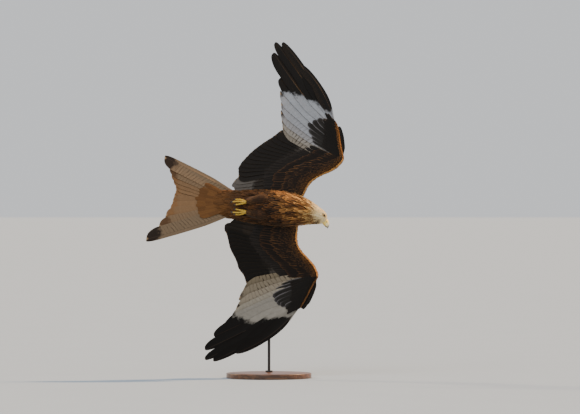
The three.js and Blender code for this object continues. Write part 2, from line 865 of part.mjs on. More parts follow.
// A claw carries on from the end of its toe and hooks round to its tip.
function clawPiece(toe) {
  const line = new THREE.CatmullRomCurve3(points(toe.through));
  const along = line.getTangent(1);
  const start = line.getPoint(1).addScaledVector(along, gap);
  const knee = start.clone().addScaledVector(along, 7);
  const tip = vec(...toe.tip);
  const hook = new THREE.QuadraticBezierCurve3(start, knee, tip);
  const rings = [0, 0.4, 0.75, 1].map((t, i, all) => {
    const tangent = hook.getTangent(t);
    const side = vec(0.31, 0.2, 0.93).cross(tangent).normalize();
    const up = tangent.clone().cross(side);
    const at = (i / (all.length - 1)) * (clawRadii.length - 1);
    const low = Math.min(Math.floor(at), clawRadii.length - 2);
    const r = lerp(clawRadii[low], clawRadii[low + 1], at - low);
    return ellipseRing(hook.getPoint(t), side.multiplyScalar(r), up.multiplyScalar(r), 6);
  });
  return loft(rings);
}

function thighPiece(room) {
  const thigh = egg(thighPlace, vec(-50, -4, -6), vec(0, 22, 0), vec(0, 0, 20), [12, 6]);
  return thigh.subtract(room).subtract(footPiece(gap));
}

// The stand: a round base and one rod that comes up behind the bird and bends into its back

const baseRadius = 150;
const baseThick = 18;
const baseEdge = 4;
const rodRadius = 5;
const rodBack = 60;
const rodBend = 40;
const rodSink = 12;
const rodTop = birdPlace.z - 1;
const collarRadius = 13;
const collarThick = 6;

function basePiece() {
  const profile = [
    [0, 0],
    [baseRadius - 1.5, 0],
    [baseRadius, 1.5],
    [baseRadius, baseThick - baseEdge],
    [baseRadius - baseEdge, baseThick],
    [0, baseThick],
  ].map(([r, h]) => new THREE.Vector2(r, h));
  const upright = new THREE.Matrix4().makeRotationX(Math.PI / 2);
  const turned = solidOf(new THREE.LatheGeometry(profile, 40), upright);
  const hole = [vec(0, rodBack, baseThick - rodSink - gap), vec(0, rodBack, baseThick + 1)];
  return turned.subtract(limb(hole, [rodRadius + gap, rodRadius + gap], 12, 1));
}

function rodPiece() {
  const path = [];
  path.push(vec(0, rodBack, baseThick - rodSink), vec(0, rodBack, rodTop - rodBend));
  for (let i = 1; i <= 6; i++) {
    const a = ((i / 6) * Math.PI) / 2;
    path.push(vec(0, rodBack - rodBend * (1 - Math.cos(a)), rodTop - rodBend * (1 - Math.sin(a))));
  }
  const reach = birdPlace.y + 45;
  path.push(vec(0, reach, rodTop));
  const rings = path.map((p, i) => {
    const before = path[Math.max(i - 1, 0)];
    const after = path[Math.min(i + 1, path.length - 1)];
    const along = after.clone().sub(before).normalize();
    const side = vec(1, 0, 0);
    const up = along.clone().cross(side);
    return ellipseRing(p, side.multiplyScalar(rodRadius), up.multiplyScalar(rodRadius), 12);
  });
  const foot = [vec(0, rodBack, baseThick + gap), vec(0, rodBack, baseThick + gap + collarThick)];
  const collar = limb(foot, [collarRadius, collarRadius - 1], 20, 1);
  const body = bodyRoom.translate([birdPlace.x, birdPlace.y, birdPlace.z]);
  return join([loft(rings), collar]).subtract(body);
}

// Putting it together

// Colours as they show on the bird: rust, dark brown, near black, pale grey, yellow and horn.
const paint = {
  rust: 0x8c4d24,
  brown: 0x4a3122,
  dark: 0x2b2320,
  tail: 0xa8663a,
  pale: 0xc9beb0,
  yellow: 0xd9a520,
  horn: 0x2a2624,
  eye: 0xc9a24a,
  wood: 0x6b4a30,
  metal: 0x2e2e30,
};

const bird = new THREE.Group();
bird.position.copy(birdPlace);
bird.add(
  meshOf("torso", bodyPiece(...bodyPieces.torso), paint.rust, 0.9),
  meshOf("neck", bodyPiece(...bodyPieces.neck), paint.rust, 0.9),
  meshOf("head", headPiece(), paint.pale, 0.9),
  meshOf("tail_base", bodyPiece(...bodyPieces.tail_base), paint.rust, 0.9),
  meshOf("tail", tailPiece(), paint.tail, 0.8),
  meshOf("cere", cerePiece(), paint.yellow, 0.5),
  meshOf("bill_upper", billPiece(upperBillRows), paint.horn, 0.4),
  meshOf("bill_lower", billPiece(lowerBillRows), paint.yellow, 0.5),
);

for (const side of ["right", "left"]) {
  const turn = side === "right" ? (made) => made : mirrored;
  const groupPaint = { arm: paint.brown, forearm: paint.brown, hand: paint.dark };
  const parts = wingParts(wingPoses[side], turn(bodyRoom));
  for (const [name, made] of Object.entries(parts))
    bird.add(meshOf(`wing_${side}_${name}`, turn(made), groupPaint[name], 0.8));
  bird.add(
    meshOf(`eye_${side}`, eyePiece(side === "right" ? -1 : 1), paint.eye, 0.1),
    meshOf(`leg_${side}_thigh`, turn(thighPiece(turn(bodyRoom))), paint.rust, 0.9),
    meshOf(`foot_${side}`, turn(footPiece()), paint.yellow, 0.6),
  );
  for (const [name, toe] of Object.entries(toes))
    bird.add(meshOf(`claw_${side}_${name}`, turn(clawPiece(toe)), paint.horn, 0.3));
}

const part = new THREE.Group();
part.add(
  bird,
  meshOf("stand_base", basePiece(), paint.wood, 0.5),
  meshOf("stand_rod", rodPiece(), paint.metal, 0.4),
);
export default part;
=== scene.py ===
import itertools
import math

import bmesh
import bpy
import numpy as np
from mathutils import Matrix, Vector
from mathutils.bvhtree import BVHTree


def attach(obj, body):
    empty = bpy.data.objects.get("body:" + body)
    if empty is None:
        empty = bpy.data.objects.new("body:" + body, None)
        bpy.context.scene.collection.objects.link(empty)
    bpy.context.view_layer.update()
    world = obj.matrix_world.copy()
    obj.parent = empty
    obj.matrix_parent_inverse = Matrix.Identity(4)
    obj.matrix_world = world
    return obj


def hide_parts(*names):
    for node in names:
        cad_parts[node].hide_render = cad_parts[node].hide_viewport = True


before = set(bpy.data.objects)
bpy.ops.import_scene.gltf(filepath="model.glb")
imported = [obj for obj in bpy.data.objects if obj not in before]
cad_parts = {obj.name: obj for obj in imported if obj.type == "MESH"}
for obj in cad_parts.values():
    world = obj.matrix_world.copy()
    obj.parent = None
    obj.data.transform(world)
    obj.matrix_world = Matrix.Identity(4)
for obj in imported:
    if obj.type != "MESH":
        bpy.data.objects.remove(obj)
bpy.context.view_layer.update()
chance = np.random.default_rng(41)
print("frame loaded:", len(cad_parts), "nodes")

# Small helpers

# The bird is measured in millimetres from its own middle: x to the head, y to the back, z to its
# right wing, which is up. The model is in metres.
birdPlace = np.array([-25.0, -35.0, 603.0])


def toModel(points):
    return (np.asarray(points, float) + birdPlace) / 1000


def unit(v):
    v = np.asarray(v, float)
    return v / np.maximum(np.linalg.norm(v, axis=-1, keepdims=True), 1e-9)


def lerp(a, b, t):
    return a + (b - a) * t


def smoothstep(x, low, high):
    t = np.clip((np.asarray(x, float) - low) / (high - low), 0, 1)
    return t * t * (3 - 2 * t)


# Turns vectors about axes by an angle in degrees.
def turned(v, axis, degrees):
    a = np.radians(degrees)
    a = a[..., None] if np.ndim(a) else a
    dot = np.sum(v * axis, axis=-1, keepdims=True)
    return v * np.cos(a) + np.cross(axis, v) * np.sin(a) + axis * dot * (1 - np.cos(a))


# An sRGB hex colour as linear numbers, which is what shaders and attributes take.
def hexColour(text):
    srgb = np.array([int(text[i:i + 2], 16) for i in (1, 3, 5)]) / 255
    return np.where(srgb <= 0.04045, srgb / 12.92, ((srgb + 0.055) / 1.055) ** 2.4)


# A colour given as hex text or as linear numbers.
def asColour(colour):
    return hexColour(colour) if isinstance(colour, str) else np.asarray(colour, float)


def blend(one, other, share):
    return lerp(asColour(one), asColour(other), np.asarray(share)[..., None])


# Reads a table of rows at any place between them, on a smooth curve.
def smoothTable(rows):
    values = np.array(rows, float)
    padded = np.vstack([2 * values[0] - values[1], values, 2 * values[-1] - values[-2]])
    last = len(values) - 1

    def at(t):
        t = np.clip(np.asarray(t, float), 0, last)
        i = np.minimum(t.astype(int), last - 1)
        p = (t - i)[..., None]
        a, b, c, d = padded[i], padded[i + 1], padded[i + 2], padded[i + 3]
        squared = a - 2.5 * b + 2 * c - d / 2
        cubed = 1.5 * b - a / 2 - 1.5 * c + d / 2
        return b + (c - a) / 2 * p + squared * p**2 + cubed * p**3

    return at


# A curve through points that doesn't overshoot at uneven steps.
def roundCurve(points):
    values = np.array(points, float)
    padded = np.vstack([2 * values[0] - values[1], values, 2 * values[-1] - values[-2]])
    last = len(values) - 1

    def at(t):
        t = np.asarray(t, float)
        i = np.clip(t.astype(int), 0, last - 1)
        w = (t - i)[..., None]
        a, b, c, d = padded[i], padded[i + 1], padded[i + 2], padded[i + 3]
        pairs = ((a, b), (b, c), (c, d))
        s0, s1, s2 = [np.sqrt(np.linalg.norm(q - p, axis=-1, keepdims=True)) for p, q in pairs]
        m1 = ((b - a) / s0 - (c - a) / (s0 + s1) + (c - b) / s1) * s1
        m2 = ((c - b) / s1 - (d - b) / (s1 + s2) + (d - c) / s2) * s1
        return b + m1 * w + (3 * c - 3 * b - 2 * m1 - m2) * w**2 + (2 * b - 2 * c + m1 + m2) * w**3

    return at


# How far along a line of points each point lies.
def runAlong(points):
    return np.concatenate([[0], np.cumsum(np.linalg.norm(np.diff(points, axis=0), axis=1))])


# The same curve read by share of its length.
def byLength(points):
    curve = roundCurve(points)
    fine = np.linspace(0, len(points) - 1, 201)
    run = runAlong(curve(fine))
    return lambda share: curve(np.interp(np.asarray(share) * run[-1], run, fine))


# Reads rows of numbers between the knots that they belong to, in straight steps.
def readBetween(place, knots, rows):
    return np.stack([np.interp(place, knots, column) for column in rows.T], -1)


# Reads a list of places in straight steps by share.
def bySteps(points):
    values = np.array(points, float)
    steps = np.linspace(0, 1, len(values))
    return lambda share: readBetween(share, steps, values)


def deselectAll():
    if bpy.context.object and bpy.context.object.mode != "OBJECT":
        bpy.ops.object.mode_set(mode="OBJECT")
    bpy.ops.object.select_all(action="DESELECT")


def choose(*pieces):
    deselectAll()
    for piece in pieces:
        piece.select_set(True)
    bpy.context.view_layer.objects.active = pieces[0]


def applyModifier(piece, kind, **settings):
    choose(piece)
    made = piece.modifiers.new(kind.title(), kind)
    for name, value in settings.items():
        setattr(made, name, value)
    bpy.ops.object.modifier_apply(modifier=made.name)


def putAtOrigin(piece):
    choose(piece)
    bpy.ops.object.transform_apply(location=True, rotation=True, scale=True)


# Joins pieces into the first one under a new name.
def joined(name, pieces):
    choose(*pieces)
    bpy.ops.object.join()
    made = bpy.context.object
    made.name = name
    made.data.name = name
    return made


def smooth(piece, degrees):
    choose(piece)
    bpy.ops.object.shade_smooth_by_angle(angle=math.radians(degrees))


def finished(piece, material, degrees):
    piece.data.materials.clear()
    piece.data.materials.append(material)
    smooth(piece, degrees)
    return piece


# A closed tube of sections: a circle is extruded again and again, and each new ring is put on the
# next section. The rings are in bird millimetres.
def tubeOf(name, rings):
    rings = [toModel(ring) for ring in rings]
    sides = len(rings[0])
    deselectAll()
    bpy.ops.mesh.primitive_circle_add(vertices=sides, radius=0.01, fill_type="NGON")
    piece = bpy.context.object
    piece.name = name
    piece.data.name = name
    bpy.ops.object.mode_set(mode="EDIT")
    mesh = bmesh.from_edit_mesh(piece.data)
    mesh.verts.ensure_lookup_table()
    for k in range(sides):
        mesh.verts[k].co = rings[0][k]
    for before, after in zip(rings, rings[1:]):
        bpy.ops.mesh.extrude_region_move()
        mesh = bmesh.from_edit_mesh(piece.data)
        for v in [v for v in mesh.verts if v.select]:
            nearest = np.argmin(np.sum((before - np.array(v.co)) ** 2, axis=1))
            v.co = after[nearest]
    bpy.ops.mesh.select_all(action="SELECT")
    bpy.ops.mesh.normals_make_consistent(inside=False)
    bpy.ops.object.mode_set(mode="OBJECT")
    return piece


# The left wing, leg and foot are built as right ones and mirrored.
def flipFor(side):
    return np.array([1, 1, -1 if side == "left" else 1])


# A ring of points round a middle along two directions.
def ovalRing(middle, one, two, sides):
    a = np.linspace(0, 2 * math.pi, sides, endpoint=False)[:, None]
    return np.asarray(middle) + np.cos(a) * np.asarray(one) + np.sin(a) * np.asarray(two)


# Sections of a limb through points, its radius read along a list, with both ends rounded off.
def limbRings(points, radii, sides, steps, flatten=1.0):
    line = byLength(points)
    t = np.concatenate([[0, 0.002, 0.006], np.linspace(0.02, 0.98, steps), [0.994, 0.998, 1]])
    middles = line(t)
    knots = np.linspace(0, 1, 201)
    tangents = readBetween(t, knots, unit(np.gradient(line(knots), axis=0)))
    widths = np.interp(t, np.linspace(0, 1, len(radii)), radii)
    widths[[0, -1]] *= 0.35
    widths[[1, -2]] *= 0.7
    widths[[2, -3]] *= 0.9
    rings = []
    for middle, along, width in zip(middles, unit(tangents), widths):
        side = unit(np.cross([0.31, 0.2, 0.93], along))
        up = np.cross(along, side)
        rings.append(ovalRing(middle, side * width, up * width * flatten, sides))
    return rings


# Materials


# Adds one node: keys in small letters are its settings, the others its sockets. A socket takes a
# value or a link, and a node given as a link stands for its first output.
def addNode(tree, kind, given=None):
    node = tree.nodes.new("ShaderNode" + kind)
    for key, value in (given or {}).items():
        if isinstance(key, str) and key[0].islower():
            setattr(node, key, value)
        elif isinstance(value, bpy.types.Node):
            tree.links.new(value.outputs[0], node.inputs[key])
        elif isinstance(value, bpy.types.NodeSocket):
            tree.links.new(value, node.inputs[key])
        else:
            node.inputs[key].default_value = value
    return node


def newMaterial(name, **finish):
    material = bpy.data.materials.new(name)
    material.use_nodes = True
    tree = material.node_tree
    shader = tree.nodes["Principled BSDF"]
    for socket, value in finish.items():
        shader.inputs[socket.replace("_", " ")].default_value = value
    return material, tree, shader


def rgba(colour):
    return (*[float(c) for c in hexColour(colour)], 1.0)


# Waves that draw the bars and barbs of a vane, in radians: bars by the metre, barbs by the feather.
waves = {"bars": 393.0, "flightBarbs": 900.0, "coatBarbs": 110.0}


# Flight feathers: two webs of barbs on a shaft. Each feather's corners carry its colour near the
# root and at the tip, where the one changes to the other, how strong and how many its bars are, and
# how pale its fringe is, a pale edge that is partly painted light shining through the thin vane. The
# map "vane" runs across from 0 to 1, and along from root to tip.
def flightMaterial(name, roughness):
    material, tree, shader = newMaterial(name, Roughness=roughness)
    shader.inputs["Specular IOR Level"].default_value = 0.14
    shader.inputs["Sheen Weight"].default_value = 0.03
    shader.inputs["Sheen Roughness"].default_value = 0.5
    place = addNode(tree, "UVMap", {"uv_map": "vane"})
    split = addNode(tree, "SeparateXYZ", {0: place})
    across, along = split.outputs[0], split.outputs[1]
    centred = addNode(tree, "Math", {"operation": "SUBTRACT", 0: across, 1: 0.5})
    off = addNode(tree, "Math", {"operation": "ABSOLUTE", 0: centred})
    near = addNode(tree, "VertexColor", {"layer_name": "nearColour"})
    far = addNode(tree, "VertexColor", {"layer_name": "farColour"})
    marks = addNode(tree, "VertexColor", {"layer_name": "marks"})
    parts = addNode(tree, "SeparateColor", {0: marks})
    changeAt, barStrength, barCount = parts.outputs[0], parts.outputs[1], parts.outputs[2]
    fringe = marks.outputs[1]
    grain = addNode(tree, "TexCoord").outputs["Object"]
    # Uneven growth of the vane makes every edge between colours wander by a few millimetres.
    wander = addNode(tree, "TexNoise", {"Scale": 70.0, "Detail": 3.0, "Vector": grain})
    drift = addNode(tree, "Math", {"operation": "MULTIPLY_ADD", 0: wander, 1: 0.16, 2: -0.08})
    swept = addNode(tree, "Math", {"operation": "MULTIPLY_ADD", 0: off, 1: -0.12, 2: along})
    reach = addNode(tree, "Math", {"operation": "ADD", 0: swept, 1: drift})
    start = addNode(tree, "Math", {"operation": "SUBTRACT", 0: changeAt, 1: 0.035})
    stop = addNode(tree, "Math", {"operation": "ADD", 0: changeAt, 1: 0.035})
    change = addNode(tree, "MapRange", {
        "interpolation_type": "SMOOTHSTEP", "Value": reach, "From Min": start, "From Max": stop,
    })
    base = addNode(tree, "Mix", {"data_type": "RGBA", 0: change, 6: near, 7: far})
    # Bars run across, swept with the barbs, 16 mm apart on the wing and 13 to 20 mm on the tail.
    wobble = addNode(tree, "Math", {"operation": "MULTIPLY_ADD", 0: drift, 1: 0.25, 2: swept})
    turns = addNode(tree, "Math", {"operation": "MULTIPLY", 0: barCount, 1: waves["bars"]})
    phase = addNode(tree, "Math", {"operation": "MULTIPLY", 0: wobble, 1: turns})
    wave = addNode(tree, "Math", {"operation": "SINE", 0: phase})
    bar = addNode(tree, "MapRange", {"From Min": 0.45, "From Max": 0.8, "Value": wave})
    # They fade towards the tip and on the leading web, and are broken here and there.
    onWeb = addNode(tree, "MapRange", {
        "From Min": 0.45, "From Max": 0.6, "To Min": 1.0, "To Max": 0.3, "Value": across,
    })
    towardsTip = addNode(tree, "MapRange", {
        "From Min": 0.72, "From Max": 0.92, "To Min": 1.0, "To Max": 0.25, "Value": along,
    })
    broken = addNode(tree, "MapRange", {
        "From Min": 0.42, "From Max": 0.56, "To Min": 0.25, "Value": wander,
    })
    webShare = addNode(tree, "Math", {"operation": "MULTIPLY", 0: onWeb, 1: towardsTip})
    strength = addNode(tree, "Math", {"operation": "MULTIPLY", 0: webShare, 1: broken})
    shown = addNode(tree, "Math", {"operation": "MULTIPLY", 0: strength, 1: barStrength})
    barred = addNode(tree, "Math", {"operation": "MULTIPLY", 0: bar, 1: shown})
    barColour = addNode(tree, "Mix", {
        "data_type": "RGBA", "blend_type": "MULTIPLY", 0: 1.0, 6: base.outputs[2], 7: (0.16, 0.13, 0.12, 1),
    })
    banded = addNode(tree, "Mix", {
        "data_type": "RGBA", 0: barred, 6: base.outputs[2], 7: barColour.outputs[2],
    })
    # A pale fringe along the end and the edges of the webs: partly worn edges, partly painted light shining
    # through the thin edges.
    edgeOn = addNode(tree, "MapRange", {"From Min": 0.47, "From Max": 0.5, "To Max": 0.12, "Value": off})
    endOn = addNode(tree, "MapRange", {"From Min": 0.965, "From Max": 0.985, "Value": swept})
    rim = addNode(tree, "Math", {"operation": "MAXIMUM", 0: edgeOn, 1: endOn})
    rimShare = addNode(tree, "Math", {"operation": "MULTIPLY", 0: rim, 1: fringe})
    rimmed = addNode(tree, "Mix", {
        "data_type": "RGBA", 0: rimShare, 6: banded.outputs[2], 7: rgba("#c9ab84"),
    })
    # Barbs lie about two millimetres apart on a long feather, coarser than real ones so that they show.
    sweepBack = addNode(tree, "Math", {"operation": "MULTIPLY_ADD", 0: off, 1: -0.3, 2: along})
    barbs = addNode(tree, "Math", {"operation": "MULTIPLY", 0: sweepBack, 1: waves["flightBarbs"]})
    barbWave = addNode(tree, "Math", {"operation": "SINE", 0: barbs})
    fine = addNode(tree, "Math", {"operation": "MULTIPLY_ADD", 0: barbWave, 1: 0.07, 2: 0.93})
    clouds = addNode(tree, "MapRange", {"To Min": 0.78, "To Max": 1.16, "Value": wander})
    light = addNode(tree, "Math", {"operation": "MULTIPLY", 0: fine, 1: clouds})
    webbed = addNode(tree, "VectorMath", {"operation": "SCALE", 0: rimmed.outputs[2], "Scale": light})
    # The shaft is brown horn, darker than a pale web and paler than a dark one.
    onShaft = addNode(tree, "MapRange", {
        "From Min": 0.022, "From Max": 0.012, "To Max": 0.45, "Value": off,
    })
    coloured = addNode(tree, "Mix", {"data_type": "RGBA", 0: onShaft, 6: webbed, 7: rgba("#4a3b30")})
    tree.links.new(coloured.outputs[2], shader.inputs["Base Color"])
    bump = addNode(tree, "Bump", {"Strength": 0.12, "Distance": 0.0002, "Height": barbWave})
    tree.links.new(bump.outputs[0], shader.inputs["Normal"])
    return material


# Body feathers: a loose vane with a dark lance along the shaft and a fringe of its own colour. The
# corner colour "tint" is the feather's ground colour, and its alpha is how strong the lance is;
# "fringe" is the colour of its edge, and its alpha is how strong that is.
def bodyFeatherMaterial(name, lance):
    material, tree, shader = newMaterial(name, Roughness=0.72)
    shader.inputs["Specular IOR Level"].default_value = 0.2
    shader.inputs["Sheen Weight"].default_value = 0.12
    shader.inputs["Sheen Roughness"].default_value = 0.45
    shader.inputs["Sheen Tint"].default_value = rgba("#ffd9b0")
    place = addNode(tree, "UVMap", {"uv_map": "vane"})
    split = addNode(tree, "SeparateXYZ", {0: place})
    along = split.outputs[1]
    centred = addNode(tree, "Math", {"operation": "SUBTRACT", 0: split, 1: 0.5})
    off = addNode(tree, "Math", {"operation": "ABSOLUTE", 0: centred})
    tint = addNode(tree, "VertexColor", {"layer_name": "tint"})
    # The lance is three fifths of the vane wide, and narrows over the last fifth of its length.
    narrow = addNode(tree, "Math", {"operation": "MULTIPLY_ADD", 0: along, 1: -1.25, 2: 1.3})
    capped = addNode(tree, "Math", {"operation": "MINIMUM", 0: narrow, 1: 0.3})
    inside = addNode(tree, "Math", {"operation": "SUBTRACT", 0: capped, 1: off})
    lanceOn = addNode(tree, "MapRange", {"From Min": -0.04, "From Max": 0.04, "Value": inside})
    share = addNode(tree, "Math", {"operation": "MULTIPLY", 0: lanceOn, 1: tint.outputs[1]})
    dark = addNode(tree, "Mix", {
        "data_type": "RGBA", "blend_type": "MULTIPLY", 0: 1.0, 6: tint, 7: rgba(lance),
    })
    lanced = addNode(tree, "Mix", {"data_type": "RGBA", 0: share, 6: tint, 7: dark.outputs[2]})
    edgeOn = addNode(tree, "MapRange", {"From Min": 0.36, "From Max": 0.48, "Value": off})
    endOn = addNode(tree, "MapRange", {"From Min": 0.9, "From Max": 0.99, "To Max": 0.2, "Value": along})
    rim = addNode(tree, "Math", {"operation": "MAXIMUM", 0: edgeOn, 1: endOn})
    edge = addNode(tree, "VertexColor", {"layer_name": "fringe"})
    rimShare = addNode(tree, "Math", {"operation": "MULTIPLY", 0: rim, 1: edge.outputs[1]})
    rimmed = addNode(tree, "Mix", {"data_type": "RGBA", 0: rimShare, 6: lanced.outputs[2], 7: edge})
    # Loose barbs, drawn coarser than real ones so that they show.
    fan = addNode(tree, "Math", {"operation": "MULTIPLY_ADD", 0: off, 1: -0.55, 2: along})
    barbs = addNode(tree, "Math", {"operation": "MULTIPLY", 0: fan, 1: waves["coatBarbs"]})
    barbWave = addNode(tree, "Math", {"operation": "SINE", 0: barbs})
    fine = addNode(tree, "Math", {"operation": "MULTIPLY_ADD", 0: barbWave, 1: 0.12, 2: 0.9})
    coloured = addNode(tree, "VectorMath", {"operation": "SCALE", 0: rimmed.outputs[2], "Scale": fine})
    tree.links.new(coloured.outputs[0], shader.inputs["Base Color"])
    bump = addNode(tree, "Bump", {"Strength": 0.3, "Distance": 0.0002, "Height": barbWave})
    tree.links.new(bump.outputs[0], shader.inputs["Normal"])
    return material


# Bare skin between the feather roots, with the same colours as the coat over it.
def skinMaterial():
    material, tree, shader = newMaterial("down over skin", Roughness=0.85)
    tint = addNode(tree, "VertexColor", {"layer_name": "tint"})
    spots = addNode(tree, "TexCoord").outputs["Object"]
    down = addNode(tree, "TexNoise", {"Scale": 420.0, "Detail": 4.0, "Vector": spots})
    shade = addNode(tree, "MapRange", {"To Min": 0.25, "To Max": 0.75, "Value": down})
    darker = addNode(tree, "VectorMath", {"operation": "SCALE", 0: tint, "Scale": shade})
    tree.links.new(darker.outputs[0], shader.inputs["Base Color"])
    bump = addNode(tree, "Bump", {"Strength": 0.5, "Distance": 0.0008, "Height": down})
    tree.links.new(bump.outputs[0], shader.inputs["Normal"])
    return material


# The body's own shape

# Rows of sections from the tail to the bill: x, y, z of the middle, half width across the wings'
# plane, half depth, pitch and twist in degrees.
body = {
    "rows": [
        [-212, 12, 19, 27, 2.8, 10, 15],
        [-150, 10, 13, 46, 16, 8, 12],
        [-96, 8, 8, 51, 31, 6, 5],
        [-45, 2, 3, 58, 47, 5, 1],
        [15, -2, -1, 62, 56, 5, 0],
        [75, -3, -6, 62, 57, 5, 0],
        [120, 0, -12, 56, 50, 8, 0],
        [150, 3, -18, 48, 42, 12, 0],
        [172, 4, -24, 39, 35, 16, 0],
        [191, 3, -31, 32.5, 26, 22, 0],
        [205, 2, -37, 27.5, 22, 30, 0],
        [214, 1, -42, 22.5, 19.5, 36, 0],
        [219, 1, -47, 16.5, 16, 44, 0],
        [222, 1, -50.5, 12.2, 10.8, 47, 0],
    ],
    "coatDepth": [3, 4, 5, 6, 6, 6, 5.5, 5, 4.2, 3, 2.4, 1.9, 1.5, 1.2],
}
lastRow = len(body["rows"]) - 1
bodyAt = smoothTable(body["rows"])
bodyCoatAt = smoothTable([[d] for d in body["coatDepth"]])


def bodyFrame(row):
    x, y, z, wide, deep, pitch, twist = np.moveaxis(bodyAt(row), -1, 0)
    p = np.radians(pitch)
    nothing = np.zeros_like(p)
    forward = np.stack([np.cos(p), nothing, -np.sin(p)], -1)
    crown = turned(np.stack([np.sin(p), nothing, np.cos(p)], -1), forward, -twist)
    across = turned(np.stack([nothing, nothing + 1, nothing], -1), forward, -twist)
    return np.stack([x, y, z], -1), forward, crown, across, wide, deep


# A point of the body at a row and an angle: 0 is towards the right wing or the crown of the head,
# 90 the back, 180 the left wing or the chin, 270 the belly. Height is over the solid's surface.
def onBody(row, angle, height=0.0):
    middle, _, crown, across, wide, deep = bodyFrame(np.asarray(row, float))
    a = np.radians(angle)[..., None]
    wide, deep, height = wide[..., None], deep[..., None], np.broadcast_to(height, np.shape(row))[..., None]
    return middle + crown * np.cos(a) * (wide + height) + across * np.sin(a) * (deep + height)


def bodyNormal(row, angle):
    ahead = onBody(row + 0.02, angle) - onBody(row - 0.02, angle)
    round_ = onBody(row, angle + 1) - onBody(row, angle - 1)
    return unit(np.cross(round_, ahead))


# The wings' own shape

# Sections in the frame of the arm or the hand: along the bones and forward of them for the front
# edge and the rear edge, and half the thickness.
wingShape = {
    "arm": [
        [-6, 14, -34, -62, 13],
        [28, 3, 5, -82, 13],
        [60, -5, 42, -104, 12],
        [95, -2, 80, -110, 11.5],
        [125, 10, 118, -84, 11],
        [150, 20, 150, -56, 10.5],
        [172, 24, 180, -32, 10],
    ],
    "hand": [
        [25, 19, 20, -15, 9],
        [60, 19, 58, -16, 8],
        [95, 18, 94, -12, 7],
        [118, 15, 118, -6, 5.5],
        [131, 11, 131, -1, 4],
    ],
    "armLength": 194,
    "wristFront": 22,
    "wristRear": 13,
    "wristThick": 9.5,
    "chordSlope": 0.04,
    # half thickness from front edge to rear edge, against the thickest
    "profile": [[0, 0.12], [0.08, 0.62], [0.3, 1], [0.65, 0.92], [1, 0.6]],
    "coatDepth": 2.0,
}
elbow, wrist, fingertip = 2.4, 7, 12

# Each wing's pose, the left one as if it were a right one, and the tips of its feathers as [x, z],
# each row from the body outwards or from the wrist inwards.
wingPoses = {
    "right": {
        "shoulder": [133, 14, 35.5], "arm": 44.3, "hand": -8.9, "armRaise": 12, "handRaise": 12, "hollow": 0,
        "primaries": [
            [73, 284], [70, 309], [67, 336], [68, 366], [64, 405],
            [64, 457], [42, 548], [48, 586], [74, 586], [135, 507],
        ],
        "secondaries": [[64, 268], [40, 249], [2, 224], [-37, 193], [-79, 143], [-82, 112]],
        "tertials": [[-84, 104], [-101, 84], [-96, 62]],
        "alula": [[272, 285], [277, 270], [279, 248]],
        "curl": 1.4e-4,
    },
    "left": {
        "shoulder": [119, 14, 56.8], "arm": 17.6, "hand": -26.6, "armRaise": 10, "handRaise": -2, "hollow": 9,
        "primaries": [
            [-64, 289], [-80, 321], [-91, 359], [-111, 398], [-138, 429],
            [-168, 456], [-200, 503], [-200, 538], [-171, 543], [-92, 515],
        ],
        "secondaries": [[-56, 266], [-64, 242], [-78, 222], [-92, 185], [-110, 148], [-121, 105]],
        "tertials": [[-126, 90], [-131, 76], [-114, 58]],
        "alula": [[143, 360], [156, 345], [168, 322]],
        "curl": 1.2e-4,
    },
}


def wingFrame(pose):
    def ahead(x, z, lift):
        return np.array([x, wingShape["chordSlope"] * x + math.tan(math.radians(lift)) * z, z])

    def directions(angle, lift):
        a = math.radians(angle)
        return ahead(math.sin(a), math.cos(a), lift), ahead(math.cos(a), -math.sin(a), lift)

    shoulder = np.array(pose["shoulder"], float)
    armAlong, armFore = directions(pose["arm"], pose["armRaise"])
    handAlong, handFore = directions(pose["hand"], pose["handRaise"])
    carpus = shoulder + armAlong * wingShape["armLength"]
    fronts, rears, halves = [], [], []
    for a1, f1, a2, f2, half in wingShape["arm"]:
        hollow = pose["hollow"] * math.sin(math.pi * max(a1, 0) / wingShape["armLength"])
        fronts.append(shoulder + armAlong * a1 + armFore * (f1 - hollow))
        rears.append(shoulder + armAlong * a2 + armFore * f2)
        halves.append([half])
    mean = unit(armFore + handFore)
    fronts.append(carpus + mean * wingShape["wristFront"])
    rears.append(carpus - mean * wingShape["wristRear"])
    halves.append([wingShape["wristThick"]])
    for a1, f1, a2, f2, half in wingShape["hand"]:
        fronts.append(carpus + handAlong * a1 + handFore * f1)
        rears.append(carpus + handAlong * a2 + handFore * f2)
        halves.append([half])
    armNormal = unit(np.cross(armAlong, armFore))
    handNormal = unit(np.cross(handAlong, handFore))

    def normal(row):
        share = smoothstep(row, wrist - 2, wrist + 2)[..., None]
        return unit(lerp(armNormal, handNormal, share))

    halfAt = smoothTable(halves)
    return {
        "front": roundCurve(fronts), "rear": roundCurve(rears),
        "half": lambda row: halfAt(row)[..., 0], "normal": normal,
    }


profileAt = smoothTable(np.interp(np.linspace(0, 1, 11), *np.array(wingShape["profile"]).T)[:, None])


# A point on the wing's flesh: row along the wing, chord from the front edge 0 to the rear 1, face
# 1 above and -1 below.
def onWing(wing, row, chord, face, height=0.0):
    front, rear = wing["front"](row), wing["rear"](row)
    thick = profileAt(np.clip(chord, 0, 1) * 10)[..., 0] * wing["half"](row) + height
    rise = wing["normal"](row) * (face * thick)[..., None]
    return front + (rear - front) * np.asarray(chord)[..., None] + rise


# Feathers as joined meshes

